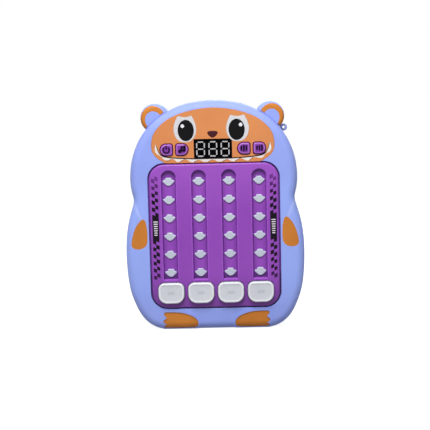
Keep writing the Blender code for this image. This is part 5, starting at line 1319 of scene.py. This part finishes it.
def buildLamps():
    for number, x in enumerate(toy["columns"], start=1):
        stations = [(lamp["flat"], 0.0), *arcStations(0.0, 0.0, lamp["taper"], 5), (0.0, lamp["back"])]
        outline = gemOutline()
        gem = solid(f"gemRow.{number}", [[
            ringAt([p * (1 - inset) for p in outline], depth * lamp["length"]) for inset, depth in stations
        ]])
        points = len(outline)
        mark(gem, "middle", [1.0] * points + [0.0] * (len(gem.data.vertices) - points))
        place = (x, toy["frontY"] + lamp["front"], lamp["first"])
        repeated(gem, risingRow, place, Count=lamp["count"], Pitch=lamp["pitch"], Finish=looks["lensMilk"])
        outline = grooveOutline(x, lamp["plateInset"], groove["foot"] + lamp["plateFoot"])
        plate = prism(f"lensPlate.{number}", [outline], *lamp["plate"], looks["lensMilk"])
        seat(smooth(gem), "game", "frosted_lens", f"lens_strip_{number}")
        seat(smooth(plate), "game", "frosted_lens")


strip = {
    "x": 0.0412, "depth": -0.00084, "thick": 0.0001, "square": (0.0023, 0.0027), "slant": 0.00045,
    "rise": 0.0015, "squares": 10, "pitch": 0.00505, "gap": 0.75, "fade": 0.06, "seed": 5,
    "block": (0.0630, 0.0834),
    "bars": 7, "barPitch": 0.00156, "barWidth": 0.0021, "barHeight": 0.0007, "barThick": 0.00006,
    "barProud": 0.00003, "growth": 0.07,
}


def blockOutline(side):
    # two columns side by side, one higher than the other, with slanting ends
    width, (low, high) = strip["square"][0], strip["block"]
    rise, slant, x = -side * strip["rise"] / 2, side * strip["slant"], side * strip["x"]
    columns = ((-width, 0.0, -rise), (0.0, width, rise))
    edges = [(x + edge, up + lean) for a, b, up in columns for edge, lean in ((a, -slant), (b, slant))]
    return [Vector((x, high + up)) for x, up in edges] + [Vector((x, low + up)) for x, up in edges[::-1]]


def buildChecker(sideName, side, end, start, turn):
    # squares run away from the block, from its upper end or, turned round, from its lower end
    width, height = strip["square"]
    slant, rise = side * strip["slant"], -side * strip["rise"]
    corners = ((-1, -1), (1, -1), (1, 1), (-1, 1))
    square = [Vector((sx * width / 2, sz * height / 2 + sx * slant)) for sx, sz in corners]
    squares = centred(f"checker.{sideName}.{end}", square, 0.0, strip["thick"])
    repeated(squares, checkerStrip, (0, 0, -rise / 2), Count=strip["squares"], Pitch=strip["pitch"],
             Rise=rise, Sway=width, Fade=strip["fade"], Seed=strip["seed"] + side, Finish=looks["inkFading"])
    place = (side * strip["x"], toy["frontY"] + strip["depth"], start)
    seat(moveBy(squares, Matrix.Rotation(turn, 4, "Y"), Matrix.Translation(place)), "game", None)


def buildStrips():
    depth, (low, high) = strip["depth"], strip["block"]
    gap = strip["pitch"] * strip["gap"]
    middle = (low + high) / 2 - strip["barPitch"] * (strip["bars"] - 1) / 2
    halfWidth, halfHeight = strip["barWidth"] / 2, strip["barHeight"] / 2
    for sideName, side in sides.items():
        name, outlines = f"levelBlock.{sideName}", [blockOutline(side)]
        seat(prism(name, outlines, depth, depth + strip["thick"], looks["inkFading"]), "game", None)
        buildChecker(sideName, side, "upper", high + gap, 0.0)
        buildChecker(sideName, side, "lower", low - gap, math.pi)
        outline = slab(-halfWidth, halfWidth, -halfHeight, halfHeight)
        bar = centred(f"levelBars.{sideName}", outline, 0.0, strip["barThick"])
        place = (side * strip["x"], toy["frontY"] + depth - strip["barProud"], middle)
        repeated(bar, risingRow, place, Count=strip["bars"], Pitch=strip["barPitch"], Growth=strip["growth"],
                 Finish=looks["inkWhite"])
        seat(bar, "game", None)


buildPanelShell()
buildLamps()
buildStrips()
print("panel made")


# Play buttons
def rimValues(obj, points, first, last):
    # 1 on the rings of the rim, counted from the middle of the front
    return [float(first <= i // points <= last) for i in range(len(obj.data.vertices))]


def buildButtons():
    top, back = button["top"], button["flangeBack"]
    ceiling = top + button["ceiling"]
    for number, x in enumerate(toy["columns"], start=1):
        stations = [(inset, top + sink) for inset, sink in button["dish"]]
        stations += arcStations(0.0, top, button["edge"], 7)
        stations += [(0.0, button["flangeFront"]), (-button["flange"], button["flangeFront"])]
        stations += [(-button["flange"], back), (button["hollow"], back), (button["hollow"], ceiling)]
        rings = [ring(buttonOutline(x, -inset), depth) for inset, depth in stations]
        middle = Vector((x, toy["buttonZ"]))
        hollow = buttonOutline(x, -button["hollow"])
        stem = [middle + (p - middle).normalized() * button["stem"] for p in hollow]
        rings += [ring(stem, ceiling), ring(stem, button["stemBack"])]
        obj = solid(f"playButton.{number}", [rings], looks["buttonWhite"])
        mark(obj, "rim", rimValues(obj, len(hollow), *button["rimRings"]))
        body = f"play_button_{number}"
        seat(smooth(obj, angle=40), body, "white_plastic", body)
        width, height = button["pill"]
        pill = roundedBox(width, height, (x, toy["buttonZ"] + button["pillUp"]), [height / 2] * 4, 8)
        near, far = top + button["pillFront"], top + button["pillBack"]
        pad = prism(f"buttonMark.{number}", [pill], near, far, looks["padGrey"])
        seat(smooth(pad), body, "white_plastic")


# Small keys with their icons
def buildKeys():
    top, flange, front = -key["proud"], -key["flange"], key["flangeFront"]
    for name, x in toy["keyColumns"].items():
        stations = [(inset, top - up) for inset, up in key["crown"]]
        stations += arcStations(0.0, top, key["edge"], 6)
        stations += [(0.0, front), (flange, front), (flange, key["flangeBack"])]
        rings = [ring(keyOutline(x, -inset), depth) for inset, depth in stations]
        obj = solid(f"{name}Key", [rings], looks["keyPurple"])
        mark(obj, "rim", rimValues(obj, len(rings[0]), *key["rimRings"]))
        seat(smooth(obj, angle=40), f"{name}_key", "purple_plastic", f"{name}_button")
        # painted shade: a thin maroon ring on the face round each key stands in for the shade in the gap
        # round the key
        outer, inner = keyOutline(x, key["ring"]), keyOutline(x, key["clear"])
        band = prism(f"{name}Ring", [outer], -key["gapShadeProud"], key["gapShadeBack"], looks["paintedGapShade"])
        carve(band, [("DIFFERENCE", prism("ringHole", [inner], -past, past))])
        seat(smooth(band), "game", "black_silicone")
        near, thick = top - key["markProud"], key["markThick"]
        inkLine(f"{name}Mark", iconRoutes(name, x), near, thick, looks["iconDark"], body=f"{name}_key")


def arcRoute(x, z, radius, start, end, width, steps=20):
    turns = [math.radians(start + (end - start) * i / steps) for i in range(steps + 1)]
    return [(x + radius * math.cos(t), z + radius * math.sin(t), width) for t in turns]


# about the middle of the key; heights of the bars from the left
icon = {
    "power": {"radius": 0.0021, "from": 128, "to": 412, "width": 0.0011, "stem": (0.0029, 0.0003)},
    "music": {
        "heads": ((-0.0013, -0.0011), (0.0013, -0.0003)), "radius": 0.0007, "headWidth": 0.00139,
        "stemAside": 0.0009, "stemTop": 0.0026, "stemWidth": 0.0010,
        "beam": ((-0.0009, 0.0015), (0.0027, 0.0023)), "beamWidth": 0.0015,
    },
    "volume": (0.0034, 0.0044, 0.0038), "tempo": (0.0028, 0.0034, 0.0044),
    "barPitch": 0.0017, "barWidth": 0.0013, "barUp": 0.0002,
}


def iconRoutes(name, x):
    z, shape = toy["keyZ"], icon[name]
    if name == "power":
        width, (high, low) = shape["width"], shape["stem"]
        circle = arcRoute(x, z, shape["radius"], shape["from"], shape["to"], width)
        return [circle, [(x, z + high, width), (x, z + low, width)]]
    if name == "music":
        aside, top, width = shape["stemAside"], shape["stemTop"], shape["stemWidth"]
        places = [(x + dx, z + dz) for dx, dz in shape["heads"]]
        heads = [arcRoute(*place, shape["radius"], 0, 360, shape["headWidth"], 12) for place in places]
        stems = [[(px + aside, pz, width), (px + aside, pz + top, width)] for px, pz in places]
        return heads + stems + [[(x + dx, z + dz, shape["beamWidth"]) for dx, dz in shape["beam"]]]
    middle, width = z + icon["barUp"], icon["barWidth"]
    bars = [(x + (i - 1) * icon["barPitch"], height / 2) for i, height in enumerate(shape)]
    return [[(barX, middle - half, width), (barX, middle + half, width)] for barX, half in bars]


# Display
def buildDisplay():
    outline, front, back = displayOutline(-display["play"]), display["front"], display["back"]
    block = softPlate("displayBlock", outline, front, back, display["edge"], looks["displayBlack"], 2)
    seat(smooth(block), "game", "black_plastic", "display_module")
    thick = display["segment"] / 2
    across, rise = display["width"] - display["segment"], (display["height"] - display["segment"]) / 2
    digits = [(digit - 1) * display["pitch"] for digit in range(display["digits"])]
    flats = [(x, toy["keyZ"] + level * rise) for x in digits for level in (-1, 0, 1)]
    uprights = [
        (x + side * across / 2, toy["keyZ"] + level * rise / 2)
        for x in digits for side in (-1, 1) for level in (-1, 1)
    ]
    for name, centres, length, turn in (
        ("flatSegments", flats, across, 0.0), ("uprightSegments", uprights, rise, math.pi / 2),
    ):
        half, cut = length / 2 - display["gap"], thick / 3
        right = [(0.0, thick), (half - cut, thick), (half, cut)]
        right += [(x, -z) for x, z in right[::-1]]
        piece = centred(name, mirrored(right), 0.0, display["segmentThick"])
        scatter(piece, centres, turn, front - display["segmentSunk"], looks["segmentGrey"])
        seat(piece, "game", None)


buildButtons()
buildKeys()
buildDisplay()
print("buttons, keys and display made")


# Case back
rear = {
    "back": 0.0306, "wallFront": 0.0286, "shoulder": 0.0289, "plateau": 0.0093, "plateauCap": 0.0009,
    "plateauEdge": 0.0005, "gap": 0.0003, "sunk": 0.0008,
    "bay": (0.02575, 0.0429, 0.0756), "bayFloor": (0.016, 0.0175), "bayWall": 0.0024,
    "ribFront": 0.0215, "tongueTop": 0.0012, "bossRadius": 0.004, "bossBack": 0.02875,
    "speaker": (0.0, 0.1038), "seat": ((0.0155, 0.0256), (0.0143, 0.0256)),
    "hole": 0.0009, "holePitch": 0.0038, "grilleUp": 0.001,
    "headHole": 0.0027, "chamfer": 0.0003, "headFloor": 0.021, "shankHole": 0.0014,
    # slots for the tabs of the contacts, by side and height
    "tabs": {-1: 0.07005, 1: 0.04845}, "tabHalf": 0.00055, "tabDepths": (0.02125, 0.02485), "tabSunk": 0.0003,
    # catches for the door's foot, and the bore for the door's screw
    "catchHalf": 0.0043, "catchFoot": 0.0021, "catchHead": 0.0006, "catchDepths": (0.0277, 0.0298),
    "doorBore": ((0.002, 0.0228), (0.002, 0.0286)),
}
door = {
    "halfWidth": 0.02695, "foot": 0.0417, "head": 0.0768, "tongue": 0.007, "top": 0.0848, "screwZ": 0.0808,
    "front": 0.0286, "play": 0.0003, "edge": 0.0003,
    "tabHalf": 0.004, "tabFoot": 0.0015, "tabHead": 0.0008, "tabDepths": (0.02875, 0.02965),
    "headFloor": 0.0296,
    "ribs": 4, "ribSize": (0.018, 0.0013), "ribZ": 0.0655, "ribPitch": 0.0022, "ribDepths": (-0.0003, 0.0005),
}


def doorOutline(grow=0.0):
    half, tongue = door["halfWidth"] + grow, door["tongue"] + grow
    foot, head, top = door["foot"] - grow, door["head"] + grow, door["top"] + grow
    right = [(half, foot), (half, head), (tongue, head), (tongue, top)]
    left = [(-x, z) for x, z in right[::-1]]
    return [Vector(p) for p in (left[-1], *right, *left[:-1])]


def rearStations():
    # from the middle of the back outwards, down the side and back up the inside
    inset, wall, start = toy["caseInset"], toy["shellWall"], toy["split"] + rear["gap"]
    back, shoulder, plateau = rear["back"], rear["shoulder"], rear["plateau"]
    inner, step = inset + wall, plateau + wall
    return [
        (plateau + rear["plateauCap"], back), *arcStations(plateau, back, -rear["plateauEdge"], 4),
        (plateau, shoulder), *arcStations(inset, shoulder, inset - toy["edge"], 5), (inset, start),
        (inner, start), (inner, shoulder - wall), (step, shoulder - wall), (step, rear["wallFront"]),
    ]


def screwBore(floor, end):
    # a wide hole for the head with a chamfer, then a narrow one for the shank
    back, head, shank, chamfer = rear["back"], rear["headHole"], rear["shankHole"], rear["chamfer"]
    wide = head + chamfer
    flare = [(wide, back + past), (wide, back), (head, back - chamfer)]
    return [*flare, (head, floor), (shank, floor), (shank, end)]


def footBlocks(half, foot, head, depths):
    # one on each side of the battery door's foot
    middle = rear["bay"][0] / 2
    outlines = [slab(side * middle - half, side * middle + half, foot, head) for side in sides.values()]
    return [[ring(outline, depth) for depth in depths] for outline in outlines]


def speakerGrille():
    grille = centred("grilleHoles", oval((0, 0), rear["hole"], rear["hole"], 20),
                     rear["wallFront"] - rear["grilleUp"], rear["back"] + past)
    (x, z), look = rear["speaker"], looks["rearViolet"]
    return repeated(grille, soundHoles, (x, toy["frontY"], z), Pitch=rear["holePitch"], Finish=look)


def buildRearShell():
    start, back, sunk, bayWall = toy["split"] + rear["gap"], rear["back"], rear["sunk"], rear["bayWall"]
    root, (half, low, high) = rear["wallFront"] + sunk, rear["bay"]
    obj = solid("rearShell", [ringsAt(bodyLine, rearStations())], looks["rearViolet"])
    bayBox = prism("bayBox", [slab(-half - bayWall, half + bayWall, low - bayWall, high + bayWall)],
                   rear["bayFloor"][0], root)
    bay = prism("bay", [slab(-half, half, low, high)], rear["bayFloor"][1], back + past)
    tongue = door["tongue"] + bayWall
    tongueBox = slab(-tongue, tongue, high + bayWall - sunk, door["top"] + rear["tongueTop"])
    ribs = [[ring(tongueBox, rear["ribFront"]), ring(tongueBox, root)]]
    boss = [(rear["bossRadius"], start), (rear["bossRadius"], rear["bossBack"])]
    ribs += [turned(place, boss) for place in bothSides(case["bosses"])]
    (outer, front), (inner, _) = rear["seat"]
    speakerSeat = [(outer, root), (outer, front), (inner, front), (inner, rear["wallFront"])]
    loopHole = [(loop["hole"], loop["near"] - past), (loop["hole"], loop["far"] + past)]
    holes = [turned(loopPlace()[0], loopHole, 24)]
    bore = screwBore(rear["headFloor"], start - past)
    holes += [turned(place, bore) for place in bothSides(case["bosses"])]
    slots = []
    for side, z in rear["tabs"].items():
        xs = sorted((side * (half - rear["tabSunk"]), side * (half + bayWall + past)))
        slot = slab(*xs, z - rear["tabHalf"], z + rear["tabHalf"])
        slots.append([ring(slot, depth) for depth in rear["tabDepths"]])
    catches = [turned((0.0, door["screwZ"]), rear["doorBore"], 20)]
    foot, head = door["foot"] - rear["catchFoot"], door["foot"] + rear["catchHead"]
    catches += footBlocks(rear["catchHalf"], foot, head, rear["catchDepths"])
    recess = prism("doorRecess", [doorOutline(door["play"])], door["front"] - rear["gap"], back + past)
    carve(obj, [
        ("UNION", bayBox),
        ("UNION", solid("rearRibs", ribs)),
        ("UNION", solid("speakerSeat", [turned(rear["speaker"], speakerSeat, 48)])),
        ("UNION", softLoop()),
        ("DIFFERENCE", bay),
        ("DIFFERENCE", solid("rearHoles", holes)),
        ("DIFFERENCE", speakerGrille()),
        ("DIFFERENCE", solid("tabSlots", slots)),
        ("DIFFERENCE", recess),
        ("DIFFERENCE", solid("doorCatches", catches)),
    ])
    seat(smooth(obj), "game", "violet_blue_plastic", "rear_shell")


def softLoop():
    stations = arcStations(0.0, loop["near"], loop["edge"], 3)
    stations += arcStations(0.0, loop["far"], -loop["edge"], 3)[::-1]
    return solid("strapLoop", [[ring(loopOutline(-inset), depth) for inset, depth in stations]])


def buildDoor():
    stations = [(0.0, door["front"]), *arcStations(0.0, rear["back"], -door["edge"], 3)[::-1]]
    obj = solid("doorPlate", [ringsAt(doorOutline(), stations)], looks["rearViolet"])
    foot, head = door["foot"] - door["tabFoot"], door["foot"] + door["tabHead"]
    tabs = solid("doorTabs", footBlocks(door["tabHalf"], foot, head, door["tabDepths"]))
    bore = screwBore(door["headFloor"], door["front"] - past)
    carve(obj, [
        ("UNION", tabs), ("DIFFERENCE", solid("doorScrewHole", [turned((0.0, door["screwZ"]), bore)])),
    ])
    width, height = door["ribSize"]
    ribs = centred("gripRibs", roundedBox(width, height, (0.0, 0.0), [height / 2] * 4, 6), *door["ribDepths"])
    repeated(ribs, risingRow, (0.0, toy["frontY"] + rear["back"], door["ribZ"]), Count=door["ribs"],
             Pitch=door["ribPitch"], Finish=looks["rearViolet"])
    seat(smooth(obj), "door", "violet_blue_plastic", "battery_door")
    seat(smooth(ribs), "door", "violet_blue_plastic")


screw = {
    "head": 0.0024, "soft": 0.00012, "edge": 0.0004, "top": 0.0008, "slot": 0.0006, "reach": 0.0015,
    "slotDepth": 0.0008, "slotFloor": 0.0001, "shank": 0.0011, "point": 0.0008, "turn": 0.4,
    # height of the head, length, and depth of the head's underside
    "case": (0.0018, 0.012, 0.0213), "door": (0.0007, 0.006, 0.0299),
}


def screwPiece(name, high, length, look):
    # about the origin, driven towards -Y; the origin is under the head
    wide, point = screw["head"], screw["point"]
    shank = [(point, -length), (screw["shank"], point - length), (screw["shank"], 0.0)]
    head = [(wide, 0.0), (wide, high - screw["edge"]), (wide - screw["soft"], high - screw["soft"])]
    head += [(wide - screw["edge"], high), (wide - screw["top"], high)]
    rings = [ringAt(oval((0, 0), radius, radius, 40), depth) for radius, depth in shank + head]
    obj = solid(name, [rings], look)
    reach, half = screw["reach"], screw["slot"] / 2
    arms = [(half, half), (half, reach), (-half, reach), (-half, half), (-reach, half), (-reach, -half)]
    arms += [(-x, -z) for x, z in arms]
    depths = (high - min(screw["slotDepth"], high - screw["slotFloor"]), high + past)
    return smooth(carve(obj, [("DIFFERENCE", solid("slot", [[ringAt(arms, depth) for depth in depths]]))]))


def buildScrews():
    look = looks["steelScrew"]
    high, length, depth = screw["case"]
    piece = screwPiece("caseScrews", high, length, look)
    scatter(piece, bothSides(case["bosses"]), screw["turn"], depth, look)
    seat(smooth(piece), "game", "steel", *[f"case_screw_{n}" for n in range(1, 7)])
    high, length, depth = screw["door"]
    piece = screwPiece("doorScrew", high, length, look)
    moveBy(piece, Matrix.Translation((0.0, toy["frontY"] + depth, door["screwZ"])))
    seat(piece, "door", "steel", "door_screw")


buildRearShell()
buildDoor()
buildScrews()
print("case back made")


# Cells
cell = {
    "radius": 0.00522, "length": 0.0436, "tail": 0.01985, "depth": 0.02305,
    "levels": ((0.04845, -1), (0.05925, 1), (0.07005, -1)),  # height and the side that the nub is on
    # the jacket's rolled end, the flat end and the end with the nub, as (in from the end, radius)
    "jacketEnd": ((0.0003, 0.0040), (0.0, 0.0042), (0.0, 0.0047), (0.0001, 0.0050), (0.0004, 0.00517)),
    "jacketStraight": 0.0009,
    "canTail": ((0.00025, 0.0004), (0.00025, 0.0030), (0.0001, 0.0034), (0.0003, 0.00405)),
    "canNub": (
        (0.0003, 0.00405), (0.0002, 0.0030), (0.0002, 0.0020), (0.0, 0.00185), (-0.0007, 0.00182),
        (-0.00088, 0.0016), (-0.0009, 0.0004),
    ),
    # the signs, from the cell's middle
    "signs": ((0.0185, ((0.0011, 0.00026), (0.00026, 0.0011))), (-0.0185, ((0.0011, 0.00026),))),
    "signProud": 0.00003, "signThick": 0.00012,
}


def lathe(name, profile, look, steps=48):
    # turned about the X axis; each station is (distance along, radius), from axis to axis
    turns = [2 * math.pi * i / steps for i in range(steps)]
    return solid(name, [[
        [Vector((along, radius * math.sin(t), radius * math.cos(t))) for t in turns]
        for along, radius in profile
    ]], look)


def cellPlaces():
    # where the middle of each cell is, the direction of its nub, and its height
    middle = cell["length"] / 2 - cell["tail"]
    return [(direction * middle, direction, z) for z, direction in cell["levels"]]


def buildCells():
    length, radius, straight = cell["length"], cell["radius"], cell["jacketStraight"]
    tail, shoulder = -length / 2, length / 2
    jacket = [(tail + inwards, reach) for inwards, reach in cell["jacketEnd"]] + [(tail + straight, radius)]
    jacket = [*jacket, (0.0, radius), *((-along, reach) for along, reach in jacket[::-1])]
    can = [(tail + inwards, reach) for inwards, reach in cell["canTail"]]
    can += [(shoulder - inwards, reach) for inwards, reach in cell["canNub"]]
    cells = [f"battery_{n}" for n in (1, 2, 3)]
    for name, profile, look, slot, nodes in (
        ("cellJackets", jacket, "cellPrint", "cell_jacket", cells),
        ("cellCans", can, "nickelPlate", "nickel", ()),
    ):
        piece = lathe(name, profile, looks[look])
        mark(piece, "along", [v.co.x / length + 0.5 for v in piece.data.vertices])
        joined = bmesh.new()
        for middle, direction, z in cellPlaces():
            mesh = piece.data.copy()
            place = Matrix.Translation((middle, toy["frontY"] + cell["depth"], z))
            mesh.transform(place @ Matrix.Rotation(0.0 if direction > 0 else math.pi, 4, "Z"))
            joined.from_mesh(mesh)
            bpy.data.meshes.remove(mesh)
        joined.to_mesh(piece.data)
        joined.free()
        seat(smooth(piece), "game", slot, *nodes)


def cellMarks():
    # a plus and a minus on each cell, lying on its jacket and facing out of the bay
    radius, sets = cell["radius"] + cell["signProud"], []
    for middle, direction, z in cellPlaces():
        for along, arms in cell["signs"]:
            for halfX, halfTurn in arms:
                sets.append([
                    signPatch(middle + direction * along, z, halfX, halfTurn / radius, radius - sunk)
                    for sunk in (0.0, cell["signThick"])
                ])
    seat(solid("cellMarks", sets, looks["inkWhite"]), "game", None)


def signPatch(x, z, halfX, halfAngle, reach, steps=6):
    # the edge of a patch of the round jacket
    edge = []
    for side in (-1, 1):
        for step in range(steps + 1):
            angle = side * (step / steps * 2 - 1) * halfAngle
            y = toy["frontY"] + cell["depth"] + reach * math.cos(angle)
            edge.append(Vector((x + side * halfX, y, z + reach * math.sin(angle))))
    return edge


def printCells():
    # a copper-coloured band with a pale line at the end with the nub
    tree = looks["cellPrint"].node_tree
    along = attribute(tree, "along")
    tint("cellPrint", ranged(tree, along, 0.7000, 0.7002), (186, 118, 66))
    away = mathNode(tree, "ABSOLUTE", mathNode(tree, "SUBTRACT", along, 0.69))
    tint("cellPrint", falling(tree, away, 0.0100, 0.0102), (226, 224, 220))


tracks = {
    "Scale": 90.0, "Mortar Size": 0.035, "Mortar Smooth": 0.0, "Brick Width": 0.9, "Row Height": 0.14,
}


def printBoard():
    # tracks under the mask, plated pads, and pale parts in front of the board
    tree = looks["boardMask"].node_tree
    place = objectPlace(tree)
    upright = newNode(tree, "ShaderNodeMapping", {"Vector": place, "Rotation": (math.pi / 2, 0.0, 0.0)})
    brick = newNode(tree, "ShaderNodeTexBrick", {**tracks, "Vector": upright.outputs["Vector"]}, offset=0.3)
    tint("boardMask", mathNode(tree, "MULTIPLY", brick.outputs["Fac"], 0.7), (70, 140, 84))
    pads = newNode(tree, "ShaderNodeTexVoronoi", {"Vector": place, "Scale": 230.0, "Randomness": 0.35})
    tint("boardMask", falling(tree, pads.outputs["Distance"], 0.15, 0.17), (206, 196, 160))
    tint("boardMask", falling(tree, axes(tree)[1], -0.00165, -0.00160), (214, 208, 190))


def paintLensAndLoopLight():
    # painted light: the gems are painted greyer inside their rims, so the rims read as lit, and the strap
    # loop, which lies in the ear's shadow, is painted paler
    tree = looks["lensMilk"].node_tree
    tint("lensMilk", ranged(tree, attribute(tree, "middle"), 0.1, 0.9, 0.9), (189, 200, 211))
    tree = looks["rearViolet"].node_tree
    tint("rearViolet", falling(tree, farFrom(tree, loopPlace()[0]), 0.0030, 0.0034), (184, 198, 252))


def paintConeRings():
    # painted shade: darker rings painted about the speaker's middle stand in for the shade of the cone's
    # rolled rings
    tree = looks["conePaper"].node_tree
    waves = mathNode(tree, "SINE", mathNode(tree, "MULTIPLY", farFrom(tree, rear["speaker"]), 6300.0))
    tint("conePaper", ranged(tree, waves, -1.0, 1.0, 0.5), (38, 35, 34))


# CAD nodes that are shown as they are, with a finish of their own
innerParts = {
    "nickelPlate": ("contact_positive", "contact_link_upper", "contact_link_lower", "contact_negative"),
    "magnetZinc": ("speaker_magnet",),
    "switchBlack": [f"{name}_plunger" for name in toy["keyColumns"]],
    "basketBlack": ("speaker_frame",),
    "conePaper": ("speaker_cone",),
    "boardMask": ("main_board",),
    "leadRed": ("battery_lead_red", "speaker_lead_red"),
    "leadBlack": ("battery_lead_black", "speaker_lead_black"),
}


def dressInnerParts():
    for look, nodes in innerParts.items():
        for node in nodes:
            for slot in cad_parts[node].material_slots:
                slot.material = looks[look]


# Rubber domes under the play buttons, drawn at rest; the real ones flatten when a button is pressed
dome = {
    "front": 0.0061, "back": 0.0104, "flat": 0.0023, "wall": 0.0008, "top": 0.0024, "foot": 0.0044,
    "edge": 0.0004, "soft": 0.0001,
}


def buildDomes():
    front, back, wall, soft = dome["front"], dome["back"], dome["wall"], dome["soft"]
    top, foot = dome["top"], dome["foot"]
    profile = [
        (top - dome["edge"], front), (top - soft, front + soft), (top, front + dome["edge"]),
        (foot - wall, back - wall), (foot - soft, back - wall), (foot, back - wall + soft), (foot, back),
        (foot - 2 * wall, back), (top - wall, front + wall),
    ]
    for number, x in enumerate(toy["columns"], start=1):
        obj = solid(f"rubberDome.{number}", [turned((x, toy["buttonZ"]), profile)], looks["domeRubber"])
        seat(smooth(obj), "game", "translucent_rubber", f"button_dome_{number}")
        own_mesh(obj)


buildDomes()
fadeInk()
paintPanelLightAndShade()
paintRimHighlights()
paintBodyAndFoldLight()
paintEarSeamShade()
printCells()
printBoard()
paintLensAndLoopLight()
paintConeRings()
buildCells()
cellMarks()
dressInnerParts()
print("cells made and inner parts dressed")


# Floor, light and camera; a light is given by its place, size and power
stage = {
    "world": 0.30, "floorWhite": 0.35, "floorGlow": 0.92, "floorSize": 6.0, "aim": Vector((0, 0, 0.08)),
    "key": (Vector((-0.06, -0.38, 0.58)), 0.30, 4.35), "back": (Vector((0.1, 0.6, 0.5)), 0.5, 2.4),
}
white = (1.0, 1.0, 1.0, 1.0)


def seenBackground(tree):
    # 1 where the camera, a reflection or a clear piece looks
    rays = tree.nodes.new("ShaderNodeLightPath").outputs
    either = mathNode(tree, "MAXIMUM", rays["Is Camera Ray"], rays["Is Glossy Ray"])
    return mathNode(tree, "MAXIMUM", either, rays["Is Transmission Ray"])


def buildWorld():
    world = bpy.data.worlds.new("studio")
    bpy.context.scene.world = world
    world.use_nodes = True
    tree = world.node_tree
    background = tree.nodes["Background"].inputs
    background["Color"].default_value = white
    levels = {"Value": seenBackground(tree), "To Min": stage["world"], "To Max": 1.0}
    level = newNode(tree, "ShaderNodeMapRange", levels)
    tree.links.new(level.outputs["Result"], background["Strength"])


def buildFloor():
    paint = bpy.data.materials.new("floorWhite")
    paint.use_nodes = True
    tree = paint.node_tree
    shader = tree.nodes["Principled BSDF"].inputs
    shader["Base Color"].default_value = (stage["floorWhite"],) * 3 + (1.0,)
    shader["Roughness"].default_value = 0.9
    shader["Specular IOR Level"].default_value = 0.0
    shader["Emission Color"].default_value = white
    glow = mathNode(tree, "MULTIPLY", seenBackground(tree), stage["floorGlow"])
    tree.links.new(glow, shader["Emission Strength"])
    bm = bmesh.new()
    bmesh.ops.create_grid(bm, x_segments=1, y_segments=1, size=stage["floorSize"])
    floor = newObject("floor", bm, paint)


def buildLights():
    for name in ("key", "back"):
        place, size, power = stage[name]
        light = bpy.data.lights.new(name, "AREA")
        light.shape, light.size, light.energy = "SQUARE", size, power
        obj = bpy.data.objects.new(name, light)
        obj.location = place
        obj.rotation_euler = (stage["aim"] - place).to_track_quat("-Z", "Y").to_euler()
        bpy.context.scene.collection.objects.link(obj)


view = {
    "target": Vector((0.0, -0.013, 0.0734)), "distance": 0.70, "azimuth": 0.87, "elevation": 7.78,
    "roll": 1.36, "lens": 83.69, "sensor": 36.0, "shift": (0.0007, 0.0274),
}


def buildCamera():
    turn, lift = math.radians(view["azimuth"]), math.radians(view["elevation"])
    back = Vector((math.sin(turn) * math.cos(lift), -math.cos(turn) * math.cos(lift), math.sin(lift)))
    data = bpy.data.cameras.new("camera")
    data.lens, data.sensor_width = view["lens"], view["sensor"]
    data.shift_x, data.shift_y = view["shift"]
    camera = bpy.data.objects.new("camera", data)
    camera.location = view["target"] + back * view["distance"]
    camera.rotation_mode = "QUATERNION"
    level = (-back).to_track_quat("-Z", "Y")
    camera.rotation_quaternion = level @ Quaternion((0.0, 0.0, 1.0), math.radians(-view["roll"]))
    bpy.context.scene.collection.objects.link(camera)
    bpy.context.scene.camera = camera


buildWorld()
buildFloor()
buildLights()
buildCamera()
bpy.context.scene.view_settings.view_transform = "Standard"
print("stage made")
